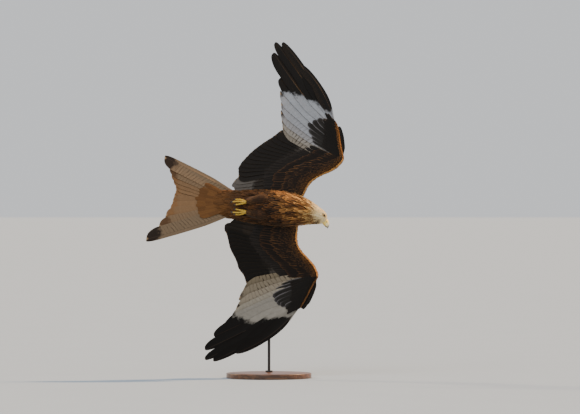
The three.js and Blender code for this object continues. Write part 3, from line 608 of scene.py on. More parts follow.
# How each kind of feather is cut: places across it on the upper face, from the leading edge 1 to
# the trailing edge -1, places back along the lower face, and stops from root to tip.
vaneKinds = {
    "flight": {
        "top": [1, 0.74, 0.45, 0.2, 0.045, 0, -0.045, -0.2, -0.42, -0.64, -0.84, -1],
        "under": [-0.62, -0.045, 0, 0.045, 0.55],
        "stops": 1 - (1 - np.linspace(0, 1, 34)) ** 1.35,
    },
    "covert": {
        "top": [1, 0.5, 0, -0.5, -1],
        "under": [-0.5, 0, 0.5],
        "stops": 1 - (1 - np.linspace(0, 1, 9)) ** 1.4,
    },
    "contour": {
        "top": [1, 0.5, 0, -0.5, -1],
        "under": [0],
        "stops": 1 - (1 - np.linspace(0, 1, 7)) ** 1.35,
    },
    "down": {
        "top": [1, 0, -1],
        "under": [0],
        "stops": 1 - (1 - np.linspace(0, 1, 5)) ** 1.3,
    },
}


# The points of many feathers at once. Each has a root, a middle that its shaft bends towards, an
# end and a normal, and the widths of its two webs.
def vanePoints(kind, f):
    t = np.array(vaneKinds[kind]["stops"])
    top, under = vaneKinds[kind]["top"], vaneKinds[kind]["under"]
    s = np.array(top + under, float)
    face = np.array([1.0] * len(top) + [-1.0] * len(under))
    n = len(f["root"])

    def each(key, default=0.0):
        return np.broadcast_to(np.asarray(f.get(key, default), float), (n,))[:, None]

    tt = t[None, :, None]
    root, mid, end = (np.asarray(f[key], float)[:, None, :] for key in ("root", "mid", "end"))
    centre = (1 - tt) ** 2 * root + 2 * tt * (1 - tt) * mid + tt**2 * end
    tangent = unit((1 - tt) * (mid - root) + tt * (end - mid))
    across = unit(np.cross(np.asarray(f["normal"], float)[:, None, :], tangent))
    up = np.cross(tangent, across)
    lean = np.broadcast_to(each("lean"), (n, len(t)))
    across, up = turned(across, tangent, lean), turned(up, tangent, lean)
    out = np.clip((t[None] - each("roundFrom", 0.8)) / (1 - each("roundFrom", 0.8)), 0, 1)
    fromRoot = lerp(each("base", 0.3), 1, smoothstep(t, 0, 0.35)[None])
    width = fromRoot * lerp(each("tip", 0.2), 1, np.sqrt(1 - out**2))
    narrow = each("notch") * smoothstep(t, 0.42, 0.62)[None]
    ragged = 1 + each("ragged") * chance.uniform(-1, 1, (2, n, len(t)))
    lead = each("lead") * width * (1 - narrow / 2) * ragged[0]
    trail = each("trail") * width * (1 - narrow) * ragged[1]
    a = np.where(s > 0, s * lead[..., None], s * trail[..., None])
    skew = (each("slant") * smoothstep(t, 0.5, 1)[None])[..., None]
    forward = a * skew + np.abs(a) * (each("sweep") * smoothstep(t, 0.0, 0.4)[None])[..., None]
    web = each("web", 0.5)[..., None] / 2 * (1 - 0.8 * np.abs(s) ** 2)
    rib = np.where(np.abs(s) < 0.02, 1.0, np.where(np.abs(s) < 0.05, 0.3, 0.0))
    web = np.maximum(web, rib * (each("shaft") * (1 - 0.9 * t[None]))[..., None])
    high = face * web - each("camber")[..., None] * np.abs(a) * np.abs(s)
    spots = centre[:, :, None, :] + a[..., None] * across[:, :, None, :]
    spots = spots + high[..., None] * up[:, :, None, :] + forward[..., None] * tangent[:, :, None, :]
    return spots, s, t, len(top)


# Builds a closed mesh of many feathers. Layers are corner colours, as one array for the upper face
# and one for the lower; bake gives each face's corner on the bake map, and its size there.
def featherMesh(name, kind, f, layers, bake, material, mirror=False):
    spots, s, t, upper = vanePoints(kind, f)
    if mirror:
        spots = spots * [1, 1, -1]
    n, rows, loop = spots.shape[:3]
    base = (np.arange(n)[:, None, None] * rows + np.arange(rows - 1)[None, :, None]) * loop
    m = np.arange(loop)[None, None, :]
    after = (m + 1) % loop
    quads = np.stack([base + m, base + after, base + loop + after, base + loop + m], -1)
    first = np.arange(n)[:, None] * rows * loop + np.arange(loop)[None, :]
    caps = np.stack([first[:, ::-1], first + (rows - 1) * loop], 1)
    one = spots[0].reshape(-1, 3)
    q = quads[0].reshape(-1, 4) % (rows * loop)
    p = one[q] - one.mean(axis=0)
    volume = np.sum(np.cross(p[:, 0], p[:, 1]) * p[:, 2]) + np.sum(np.cross(p[:, 0], p[:, 2]) * p[:, 3])
    if volume < 0:
        quads, caps = quads[..., ::-1], caps[..., ::-1]
    corners = np.concatenate([quads.reshape(-1), caps.reshape(-1)])
    starts = np.concatenate([np.arange(quads.size // 4) * 4, quads.size + np.arange(2 * n) * loop])
    mesh = bpy.data.meshes.new(name)
    mesh.vertices.add(spots.size // 3)
    mesh.vertices.foreach_set("co", toModel(spots.reshape(-1, 3)).astype(np.float32).ravel())
    mesh.loops.add(len(corners))
    mesh.loops.foreach_set("vertex_index", corners.astype(np.int32))
    mesh.polygons.add(len(starts))
    mesh.polygons.foreach_set("loop_start", starts.astype(np.int32))
    mesh.update(calc_edges=True)
    quadFeather = np.repeat(np.arange(n), (rows - 1) * loop * 4)
    quadUpper = np.tile(np.repeat(np.arange(loop) < upper - 1, 4), n * (rows - 1))
    feather = np.concatenate([quadFeather, np.repeat(np.arange(n), 2 * loop)])
    isUpper = np.concatenate([quadUpper, np.ones(2 * n * loop, bool)])
    within = corners % (rows * loop)
    u = 0.5 + 0.5 * s[within % loop]
    v = t[within // loop]
    vaneMap = mesh.uv_layers.new(name="vane")
    vaneMap.data.foreach_set("uv", np.stack([u, v], -1).astype(np.float32).ravel())
    corner = np.where(isUpper[:, None], bake["upper"][feather], bake["lower"][feather])
    bakeMap = mesh.uv_layers.new(name="OFBake")
    spread = corner + np.stack([u, v], -1) * np.asarray(bake["size"])
    bakeMap.data.foreach_set("uv", spread.astype(np.float32).ravel())
    for layer, (above, below) in layers.items():
        colours = np.where(isUpper[:, None], above[feather], below[feather])
        attribute = mesh.color_attributes.new(name=layer, type="FLOAT_COLOR", domain="CORNER")
        attribute.data.foreach_set("color", colours.astype(np.float32).ravel())
    mesh.materials.append(material)
    piece = bpy.data.objects.new(name, mesh)
    bpy.context.scene.collection.objects.link(piece)
    smooth(piece, 50)
    print(name, n, "feathers,", len(quads.reshape(-1, 4)) * 2 + 2 * n * (loop - 2), "triangles")
    return piece


# How much longer than wide a large feather's strip is on the bake map, and the sizes of the
# smaller feathers' patches.
stripAspect, largePatch, smallPatch = 5, 0.008, 0.003


# Strips side by side on the bake map, one for each face of each large feather.
def bakeStrips(count):
    columns = int(math.ceil(math.sqrt(2 * count * stripAspect)))
    lines = int(math.ceil(2 * count / columns))
    k = np.arange(2 * count)
    corner = np.stack([(k % columns + 0.06) / columns, (k // columns + 0.04) / lines], -1)
    return {"upper": corner[:count], "lower": corner[count:], "size": [0.88 / columns, 0.92 / lines]}


# Small patches at each feather's own root on an unwrap of the skin.
def bakePatches(places, size=smallPatch):
    corner = np.clip(np.asarray(places), 0.002, 0.998 - size)
    return {"upper": corner, "lower": corner, "size": [size, size]}


# The colour layers of flight and tail feathers, from a list for each face.
def vaneLayers(near, far, marks):
    lists = {"nearColour": near, "farColour": far, "marks": marks}
    return {name: [np.array(face) for face in faces] for name, faces in lists.items()}


# The colour layers of the coat, the same on both faces.
def coatLayers(tint, fringe):
    return {"tint": (tint, tint), "fringe": (fringe, fringe)}


# What vanePoints reads of each feather. A row that leaves one out has it at 0.
vaneKeys = [
    "root", "mid", "end", "normal", "lead", "trail", "base", "tip", "lean", "notch", "slant", "shaft",
    "camber", "web", "roundFrom", "ragged", "sweep",
]


def gathered(rows):
    return {key: np.array([row.get(key, 0.0) for row in rows]) for key in vaneKeys}


# Wings: flight feathers

wingFeathers = {
    "primaries": {"count": 10, "lead": (14, 11), "trail": (34, 30)},
    # how far each primary narrows into a finger, and how far it bows, from the inner one outwards
    "fingered": {
        "right": [0, 0, 0, 0, 0, 0, 0.06, 0.22, 0.26, 0.2],
        "left": [0, 0, 0, 0, 0, 0, 0.1, 0.25, 0.26, 0.16],
    },
    "primaryBow": {
        "right": [-0.02, -0.02, -0.02, -0.02, -0.02, -0.03, -0.06, 0.02, 0.07, 0.15],
        "left": [-0.02, -0.02, -0.02, -0.02, -0.01, 0, 0.03, 0.05, 0.08, 0.15],
    },
    "secondaries": 12,
    "tertials": 4,
    "alula": 3,
}
# The pale window under the primaries, from the inner one outwards: how far along it gives way to
# black, its bars, and the colours of the inner ones, which the outer ones take from the last.
window = {
    "end": {
        "right": [0.95, 0.95, 0.95, 0.95, 0.95, 0.76, 0.46, 0.27, 0.2, 0.13],
        "left": [0.95, 0.95, 0.95, 0.93, 0.83, 0.62, 0.46, 0.28, 0.19, 0.13],
    },
    "bars": [0.9, 0.8, 0.5, 0.25, 0.1, 0.05, 0, 0, 0, 0],
    "pale": {
        "right": ["#79736a", "#86827c", "#8f9094", "#8f939b", "#90959d"],
        "left": ["#766c5a", "#7f7666", "#867e70", "#8a857a", "#8c8982"],
    },
    "tip": ["#463c32", "#3b332c", "#2e2823", "#1a1613", "#0d0b0a"],
}
innerPrimaries = len(window["tip"])


# A point over the target [x, z], on the plane through the root or this high above it.
def overSurface(root, normal, target, height):
    dx, dz = target[0] - root[0], target[1] - root[2]
    return np.array([target[0], root[1] + (height - normal[0] * dx - normal[2] * dz) / normal[1], target[1]])


def rootAt(wing, row, inset):
    row = np.float64(row)
    return lerp(wing["rear"](row), wing["front"](row), inset)


def flat(points):
    return [[x, 0, z] for x, z in points]


# Where each group of feathers is rooted along the wing, and where its tips lie, by share.
def wingGroups(pose):
    def onEdge(line):
        return lambda share: line(share)[..., [0, 2]]

    secondaries, tertials = (onEdge(byLength(flat(pose[key]))) for key in ("secondaries", "tertials"))
    return {
        "hand": (lambda s: lerp(wrist + 0.35, fingertip - 0.3, s), bySteps(pose["primaries"])),
        "forearm": (lambda s: lerp(wrist - 0.3, elbow + 0.55, s), secondaries),
        "arm": (lambda s: lerp(elbow - 0.2, 0.3, s), tertials),
        "thumb": (lambda s: wrist + 0.25 + 0.2 * s, bySteps(pose["alula"])),
    }


def flightRow(wing, group, count, shape):
    rowAt, targetAt = group
    made = []
    for i in range(count):
        share = i / (count - 1)
        f = shape(share, i)
        row = rowAt(share)
        normal = wing["normal"](np.float64(row))
        root = rootAt(wing, row, f["inset"])
        target = targetAt(share)
        long = math.hypot(target[0] - root[0], target[1] - root[2])
        end = overSurface(root, normal, target, f.get("curl", 0) * long * long)
        root = root + normal * f.get("height", 0)
        away = unit(end - root)
        across = np.cross(normal, away)
        before, after = targetAt(max(share - 0.05, 0)), targetAt(min(share + 0.05, 1))
        edge = np.array([after[0] - before[0], 0, after[1] - before[1]])
        slant = np.clip(edge @ away / (edge @ across), -0.9, 0.9) if f.get("square") else 0.0
        run = end - root
        mid = (root + end) / 2 + np.cross(normal, run) * f.get("bow", 0) - normal * (run @ normal) / 2
        made.append({
            **f, "root": root, "mid": mid, "end": end, "normal": normal, "slant": slant, "long": long,
        })
    return made


def flightFeathers(side, wing, groups, material):
    primaries = wingFeathers["primaries"]
    plain = {
        "base": 0.3, "lean": 7, "camber": 0.05, "web": 0.5, "roundFrom": 0.84, "ragged": 0.012, "shaft": 1.0,
    }
    inner = {**plain, "inset": 0.15, "square": True, "tip": 0.3}

    def primary(share, i):
        square = i < innerPrimaries
        return {
            **plain, "inset": lerp(0.25, 0.6, share**2), "curl": wingPoses[side]["curl"] * share,
            "lead": lerp(*primaries["lead"], share), "trail": lerp(*primaries["trail"], share),
            "tip": 0.3 if square else 0.12, "square": square, "notch": wingFeathers["fingered"][side][i],
            "bow": wingFeathers["primaryBow"][side][i], "shaft": 1.5,
            "roundFrom": 0.84 if square else 0.7 if i == innerPrimaries else 0.8,
        }

    def secondary(share, i):
        return {**inner, "curl": -9e-5 * share, "lead": 14, "trail": 31}

    def tertial(share, i):
        return {**inner, "curl": -9e-5, "lead": 15, "trail": 28}

    def thumb(share, i):
        return {
            **plain, "lead": 8, "trail": 19, "tip": 0.2, "bow": 0.09, "lean": 3, "inset": 0.86,
            "height": 1.5 + 4 * share,
        }

    rows, near, far, marks = [], ([], []), ([], []), ([], [])

    # The last number of each face is its pale fringe, partly painted light shining through the feather's
    # edges.
    def paint(upper, lower):
        for k, (nearColour, farColour, changeAt, bars, long, fringe) in enumerate((upper, lower)):
            tone = chance.uniform(0.88, 1.1)
            near[k].append([*asColour(nearColour) * tone, 1])
            far[k].append([*asColour(farColour) * tone, 1])
            marks[k].append([changeAt, bars, long / 1000, fringe])

    for i, f in enumerate(flightRow(wing, groups["hand"], primaries["count"], primary)):
        rows.append(f)
        inWindow = i < innerPrimaries
        pale, tip = (tones[min(i, innerPrimaries - 1)] for tones in (window["pale"][side], window["tip"]))
        paint(
            ("#352b24", "#13100e", 0.5, 0.35 if inWindow else 0.1, f["long"], 0.1),
            (pale, tip, window["end"][side][i], window["bars"][i], f["long"], 0.5 if inWindow else 0.0),
        )
    for i, f in enumerate(flightRow(wing, groups["forearm"], wingFeathers["secondaries"], secondary)):
        rows.append(f)
        outer = max(0, 1 - i / 2)
        web = blend("#1d1917", "#403c38", outer)
        paint(
            ("#41301f", "#241b15", 0.6, 0.3, f["long"], 0.4),
            (web, "#110e0c", 0.55, 0.3 + 0.4 * outer, f["long"], 0.25),
        )
    for f in flightRow(wing, groups["arm"], wingFeathers["tertials"], tertial):
        rows.append(f)
        under = ("#221d19", "#55524f") if side == "right" else ("#27211c", "#1c1815")
        paint(("#533926", "#32231a", 0.7, 0.25, f["long"], 0.6), (*under, 0.62, 0.2, f["long"], 0.35))
    for f in flightRow(wing, groups["thumb"], wingFeathers["alula"], thumb):
        rows.append(f)
        paint(
            ("#241b16", "#120f0d", 0.5, 0.1, f["long"], 0.1),
            ("#110e0c", "#0c0a09", 0.4, 0.05, f["long"], 0.1),
        )
    return featherMesh(
        f"flight_feathers_{side}", "flight", gathered(rows), vaneLayers(near, far, marks),
        bakeStrips(len(rows)), material, mirror=side == "left",
    )


# Wings: coverts

coverts = {
    # rooted this far ahead of the rear edge and this deep in the flesh, with tips this far off it
    # below and above, so many to a group, so long from its first to its last
    "greater": {
        "inset": 0.2, "high": 0.45, "low": (5.2, 4.4),
        "hand": 10, "forearm": (17, 98, 100), "arm": (7, 100, 84),
    },
    "median": {
        "inset": 0.48, "high": 0.72, "low": (7.2, 6.3),
        "hand": 15, "forearm": (21, 80, 88), "arm": (8, 90, 74),
    },
    # lengths of the hand's coverts from the wrist to the fingertip
    "handGreater": {
        "right": [94, 100, 106, 110, 86, 56, 34, 21, 14],
        "left": [100, 116, 122, 110, 88, 58, 34, 22, 14],
    },
    "handMedian": {
        "right": [64, 62, 54, 38, 28, 20, 14, 11, 9],
        "left": [80, 72, 62, 50, 36, 22, 15, 11, 9],
    },
    # the small ones, each from the rearmost row to the front edge
    "lesserRows": 13, "lesserFrom": 0.56,
    "lesserLong": (54, 12), "lesserWide": (5.2, 2.2), "lesserStep": (8.2, 3.6),
}


# What colour a covert is, by its wing, group, face, inset and share of the group, how strong its
# dark lance is, and its fringe.
def covertTint(side, group, face, inset, share):
    luck = chance.uniform(0, 1)

    def fringed(tint, lance, fringe, strength):
        return tint, lance, [*asColour(fringe), strength]

    if face < 0:
        if group == "hand":
            if inset < 0.3:
                return fringed(blend("#2f2e2d", "#1d1c1b", luck), 0.5, "#77757a", 0.75)
            if inset < 0.62:
                return fringed(blend("#0b0908", "#130e0b", luck), 0.7, "#1b1511", 0.5)
            # the right hand's front edge is gold; the left one's is only a narrow line at half strength, as
            # painted shade on the wing away from the light
            tan = smoothstep(inset, 0.94, 1.0) if side == "right" else 0.5 * smoothstep(inset, 0.98, 1.0)
            tint = blend(blend("#0f0b09", "#0b0907", luck), "#94602c", tan)
            return fringed(tint, 0.6, blend("#1c130d", "#c08a48", tan), 0.6)
        if inset < 0.3:
            return fringed(blend("#161312", "#201c1a", luck), 0.6, "#332e2a", 0.6)
        if inset < 0.5:
            return fringed(blend("#18100c", "#2a1b11", luck), 0.9, blend("#3f2916", "#6e4a28", luck), 0.75)
        if inset > 0.98:
            return fringed(blend("#a87238", "#cf9650", luck), 0.2, "#e0ac66", 0.6)
        tan = smoothstep(inset, 0.88, 1.0)
        tint = blend(blend("#2a1a0f", "#46301b", luck), blend("#4a2f18", "#6e4a24", luck), tan)
        return fringed(tint, 0.95, blend(blend("#4d321a", "#7d5429", luck), "#96662f", tan), 0.7)
    # the upper side darkens over the wrist
    if inset < 0.3:
        tint, fringe = blend("#382819", "#4a3424", luck), "#8c6740"
    elif inset < 0.56:
        tint, fringe = blend("#6e5033", "#86643f", luck), "#b08a5c"
    else:
        tint, fringe = blend("#54321b", "#6b4126", luck), "#996035"
    outer = smoothstep(share + 0.12 * luck, 0.02, 0.45) if group == "hand" else 0.0
    if group == "forearm":
        outer = 0.35 * smoothstep(0.3 - share, 0.0, 0.3)
    tint = blend(tint, blend("#241b15", "#33251b", luck), outer)
    return fringed(tint, 0.8, blend(fringe, "#5c422a", outer), 0.6)


# Where a covert lies on the wing's bake map, with the upper side beside the lower one.
def wingPatch(row, inset, face):
    return [0.02 + 0.94 * row / fingertip, (0.26 if face < 0 else 0.76) - 0.2 * inset]


def noFeathers():
    return {"rows": [], "tints": [], "fringes": [], "patches": []}


def longCoverts(side, wing, groups):
    made = noFeathers()
    sets = itertools.product(("arm", "forearm", "hand"), ("greater", "median"), (-1, 1))
    for group, tierName, face in sets:
        rowAt, targetAt = groups[group]
        tier = coverts[tierName]
        if group == "hand":
            count, lengths = tier["hand"], coverts["hand" + tierName.title()][side]
        else:
            count, *lengths = tier[group]
        lengthAt = np.linspace(0, 1, len(lengths))
        for i in range(count):
            share = (i + 0.5) / count
            # the arm's and forearm's rows run on past the elbow, so that no gap shows there
            if group != "hand":
                share = share * 1.12 - (0.12 if group == "arm" else 0)
            row = rowAt(share)
            share = min(max(share, 0.0), 1.0)
            normal = wing["normal"](np.float64(row))
            root = rootAt(wing, row, tier["inset"] + chance.uniform(-0.02, 0.02))
            away = unit(overSurface(root, normal, targetAt(share), 0) - root)
            half = float(wing["half"](np.float64(row)))
            long = float(np.interp(share, lengthAt, lengths)) * chance.uniform(0.96, 1.03)
            end = root + away * long + normal * face * tier["low"][0 if face < 0 else 1]
            root = root + normal * face * (tier["high"] * half - 1.5)
            beside = (rowAt(max(share - 0.02, 0)), rowAt(min(share + 0.02, 1)))
            before, after = (rootAt(wing, spot, tier["inset"]) for spot in beside)
            wide = max(np.linalg.norm(after - before) / 0.04 / count, 8) * 0.5
            made["rows"].append({
                "root": root, "end": end, "mid": (root + end) / 2 + normal * face * 1.8,
                "normal": normal * face, "lead": wide * 1.45, "trail": wide * 1.7, "lean": -5 * face,
                "roundFrom": 0.72, "tip": 0.1, "base": 0.35, "camber": 0.12, "web": 0.45, "ragged": 0.03,
                "sweep": 0.25,
            })
            tint, lance, fringe = covertTint(side, group, face, tier["inset"], share)
            made["tints"].append([*tint, lance])
            made["fringes"].append(fringe)
            made["patches"].append(wingPatch(row, tier["inset"], face))
    return made


# How high the flesh stands over the wing's middle, at an inset from the rear edge.
def fleshHigh(inset, half):
    return float(profileAt(np.clip(1 - inset, 0, 1) * 10)[0]) * half


def lesserCovert(made, side, wing, groups, row, face, inset, size):
    long, wide = size
    group = "arm" if row < elbow else "forearm" if row < wrist else "hand"
    rowAt, targetAt = groups[group]
    first, last = rowAt(0.0), rowAt(1.0)
    along = float(np.clip((row - first) / (last - first), 0, 1))
    here = np.float64(row)
    normal = wing["normal"](here)
    put = inset + chance.uniform(-0.015, 0.015)
    flesh = rootAt(wing, row, put)
    away = unit(overSurface(flesh, normal, targetAt(along), 0) - flesh)
    chordLong = np.linalg.norm(wing["rear"](here) - wing["front"](here))
    half = float(wing["half"](here))
    scale = chance.uniform(0.88, 1.12)
    high, highEnd = fleshHigh(put, half), fleshHigh(put - long * scale / chordLong, half)
    away = unit(turned(away, normal, chance.uniform(-7, 7)))
    root = flesh + normal * face * (high - 2.6)
    end = flesh + away * long * scale + normal * face * (max(highEnd, 5.5) + 1.0)
    made["rows"].append({
        "root": root, "end": end, "mid": (root + end) / 2 + normal * face * (1.6 + 0.05 * long),
        "normal": normal * face, "lead": wide * scale, "trail": wide * scale, "roundFrom": 0.42, "tip": 0.08,
        "base": 0.4, "camber": 0.18, "web": 0.4, "ragged": 0.07, "sweep": 0.45,
    })
    tint, lance, fringe = covertTint(side, group, face, inset, along)
    made["tints"].append([*tint * chance.uniform(0.85, 1.12), lance])
    made["fringes"].append(fringe)
    made["patches"].append(wingPatch(row, put, face))


def lesserCoverts(side, wing, groups):
    made = noFeathers()
    span = np.linspace(0, fingertip - 1, 400)
    for k in range(coverts["lesserRows"]):
        share = k / (coverts["lesserRows"] - 1)
        inset = lerp(coverts["lesserFrom"], 1.0, share**0.9)
        long, wide, step = (lerp(*coverts[key], share) for key in ("lesserLong", "lesserWide", "lesserStep"))
        # the last row lies over the front edge, short and close
        if share == 1:
            long, step = 0.55 * long, 0.8 * step
        line = wing["rear"](span) + (wing["front"](span) - wing["rear"](span)) * inset
        run = runAlong(line)
        count = int(run[-1] / step)
        for face, i in itertools.product((-1, 1), range(count)):
            at = (i + (0.5 if k % 2 else 0.0) + chance.uniform(-0.2, 0.2)) / count
            row = float(np.interp(np.clip(at, 0, 1) * run[-1], run, span))
            lesserCovert(made, side, wing, groups, row, face, inset, (long, wide))
    return made


def covertFeathers(side, wing, groups, material):
    sets = (
        ("long", "covert", largePatch, longCoverts(side, wing, groups)),
        ("short", "contour", smallPatch, lesserCoverts(side, wing, groups)),
    )
    pieces = []
    for name, kind, patch, made in sets:
        layers = coatLayers(np.array(made["tints"]), np.array(made["fringes"]))
        pieces.append(featherMesh(
            f"coverts_{side}_{name}", kind, gathered(made["rows"]), layers,
            bakePatches(made["patches"], patch), material, mirror=side == "left",
        ))
    return pieces


# The tail

tail = {
    "centre": np.array([-71, 9, 10.7]),
    "middleSlope": -0.169,
    "twist": 0.29,
    "rootRadius": 50,
    "rootSpread": 20,
    # tips as [x, z], from the outermost right feather to the outermost left one
    "tips": [
        [-343, 176], [-325, 141], [-318, 117], [-311, 96], [-303, 76], [-302, 59],
        [-308, 39], [-313, 20], [-321, -4], [-337, -29], [-361, -68], [-405, -114],
    ],
    # coverts: radius of their roots, length, number, half width and height over the tail
    "coverts": [(70, 92, 15, 9.5, 5.4), (58, 84, 15, 8.5, 7.4), (44, 76, 14, 8, 9.6), (30, 66, 13, 7.5, 12)],
}
tailNormal = unit(np.array([tail["twist"] * tail["middleSlope"], 1, -tail["twist"]]))


def onTail(x, z):
    off = z - tail["centre"][2] - tail["middleSlope"] * (x - tail["centre"][0])
    return np.array([x, tail["centre"][1] + tail["twist"] * off, z])


def tailFeathers(material):
    rows, near, far, marks = [], ([], []), ([], []), ([], [])
    tips = tail["tips"]
    half = len(tips) // 2
    for i, (x, z) in enumerate(tips):
        end = onTail(x, z)
        side = 1 if i < half else -1
        outer = (half - 1 - i if side > 0 else i - half) / (half - 1)
        away = unit(end - tail["centre"])
        normal = tailNormal * side
        across = unit(np.cross(normal, away))
        root = tail["centre"] + away * tail["rootRadius"] + across * tail["rootSpread"] * outer
        lift = (1 if side > 0 else 2) if outer == 0 else 0
        root, end = root + tailNormal * lift, end + tailNormal * lift
        before, after = tips[max(i - 1, 0)], tips[min(i + 1, 2 * half - 1)]
        edge = np.array([after[0] - before[0], 0, after[1] - before[1]])
        run = end - root
        mid = (root + end) / 2 + np.cross(normal, run) * 0.02 * outer - normal * (run @ normal) / 2
        slant = lerp(0.45, 0.2, outer**3) * (edge @ away) / (edge @ across)
        rows.append({
            "root": root, "mid": mid, "end": end, "normal": normal,
            "lead": lerp(20, 12, outer), "trail": lerp(20, 34, outer), "base": 0.55, "tip": 0.36,
            "lean": 0 if outer == 0 else 6 * side, "slant": np.clip(slant, -0.5, 0.5),
            "camber": 0.04, "web": 0.5, "roundFrom": 0.86, "ragged": 0.01, "shaft": 1.1,
        })
        long = float(np.linalg.norm(run))
        darkShare = float(smoothstep(outer, 0.5, 1.0))
        tone = chance.uniform(0.93, 1.06)
        rust = blend("#a5582a", "#7d5636", outer**2)
        rustEnd = blend(rust, "#3f2c20", 0.25 + 0.65 * darkShare)
        pale = blend("#7b5f43", "#75634e", darkShare)
        dark = blend("#7a5838", "#241a13", smoothstep(outer, 0.55, 1.0))
        changeAt, bars = lerp(0.9, 0.81, outer), 0.05 + 0.5 * darkShare
        # The last mark of each face is the pale fringe at the tips, partly painted light shining through
        # them.
        sets = [
            ([*rust * tone, 1], [*rustEnd * tone, 1], [0.82, 0.15 + 0.3 * outer, 0.8 * long / 1000, 0.6]),
            ([*pale * tone, 1], [*dark * tone, 1], [changeAt, bars, 1.25 * long / 1000, 0.6]),
        ]
        # the left half's feathers are built with their first face towards the bird's belly
        if side < 0:
            sets.reverse()
        for k, (a, b, c) in enumerate(sets):
            near[k].append(a)
            far[k].append(b)
            marks[k].append(c)
    return featherMesh(
        "tail_feathers", "flight", gathered(rows), vaneLayers(near, far, marks),
        bakeStrips(len(rows)), material,
    )


# The tail's own coverts, in fans over and under the roots of its feathers.
def tailCoverts(material):
    edge = byLength([onTail(x, z) for x, z in tail["tips"]])
    made = noFeathers()
    for face, (radius, long, count, wide, high) in itertools.product((-1, 1), tail["coverts"]):
        for i in range(count):
            share = (i + 0.5) / count
            away = unit(edge(lerp(0.06, 0.94, share)) - tail["centre"])
            reach = long * (1 - 0.3 * abs(share - 0.5)) * chance.uniform(0.94, 1.05)
            reach *= 0.8 if face > 0 else 1
            root = tail["centre"] + away * radius + tailNormal * face * (high - 1.5)
            end = tail["centre"] + away * (radius + reach) + tailNormal * face * lerp(high, 4.2, 0.9)
            made["rows"].append({
                "root": root, "end": end, "mid": (root + end) / 2 + tailNormal * face * 2,
                "normal": tailNormal * face, "lead": wide, "trail": wide, "roundFrom": 0.6, "tip": 0.1,
                "base": 0.4, "camber": 0.14, "web": 0.45, "ragged": 0.06, "sweep": 0.5,
            })
            luck = chance.uniform(0, 1)
            tint = blend("#593a1b", "#694622", luck) if face < 0 else blend("#854a23", "#9c5c2b", luck)
            made["tints"].append([*tint, 0.0 if face < 0 else 0.35])
            made["fringes"].append([*tint * 1.25, 0.4])
            made["patches"].append([0.05 + 0.9 * share, (0.02 if face < 0 else 0.52) + radius / 200])
    layers = coatLayers(np.array(made["tints"]), np.array(made["fringes"]))
    patches = bakePatches(made["patches"], largePatch)
    return featherMesh("tail_coverts", "covert", gathered(made["rows"]), layers, patches, material)


# The coat over the body

coat = {
    # by row of the body's sections: feather length and half width
    "long": [44, 43, 42, 41, 40, 39, 37, 33, 25, 15.5, 9.5, 6.6, 4.6, 3.2],
    "wide": [5.6, 5.4, 5.2, 5.0, 4.9, 4.8, 4.5, 3.7, 2.6, 1.6, 1.08, 0.82, 0.64, 0.52],
    # a ring's feathers stand this many half widths apart
    "stepRound": 1.3,
    # a root deeper in another tube than this, in metres, grows nothing
    "deep": 0.003,
}
coatShapes = {
    "torso": {"swirl": 2.6, "lift": 0.2, "roundFrom": 0.34, "camber": 0.16, "web": 0.4},
    "neck": {"swirl": 3.5, "lift": 0.5, "roundFrom": 0.3, "camber": 0.2, "web": 0.35},
    "head": {"swirl": 2.5, "lift": 0.05, "roundFrom": 0.4, "camber": 0.16, "web": 0.25},
}
coatAt = smoothTable(np.array([coat["long"], coat["wide"]]).T)


# Dark streaks run along the body in columns round it, from a random pattern of cells that is alike
# for all feathers near each other. A cell is about half a feather long.
streaks = {
    "rows": 60, "columns": 84,
    "cellLong": [24, 24, 24, 24, 22, 20, 18, 15, 11, 9, 7, 5.5, 4.5, 4],
}
streakTable = np.random.default_rng(7).uniform(0, 1, (streaks["rows"], streaks["columns"]))
rowSteps = np.linalg.norm(np.diff(np.array(body["rows"])[:, :3], axis=0), axis=1)
cellRun = np.concatenate([[0], np.cumsum(rowSteps / np.array(streaks["cellLong"][1:]))])


def streakAt(row, angle):
    u = np.interp(row, np.arange(len(cellRun)), cellRun)
    v = np.mod(angle, 360) / 360 * streaks["columns"]
    i, j = np.floor(u).astype(int), np.floor(v).astype(int)
    p, q = smoothstep(u - i, 0, 1), smoothstep(v - j, 0, 1)

    def cell(k, m):
        return streakTable[(i + k) % streaks["rows"], (j + m) % streaks["columns"]]

    return smoothstep(lerp(lerp(cell(0, 0), cell(1, 0), p), lerp(cell(0, 1), cell(1, 1), p), q), 0.4, 0.6)
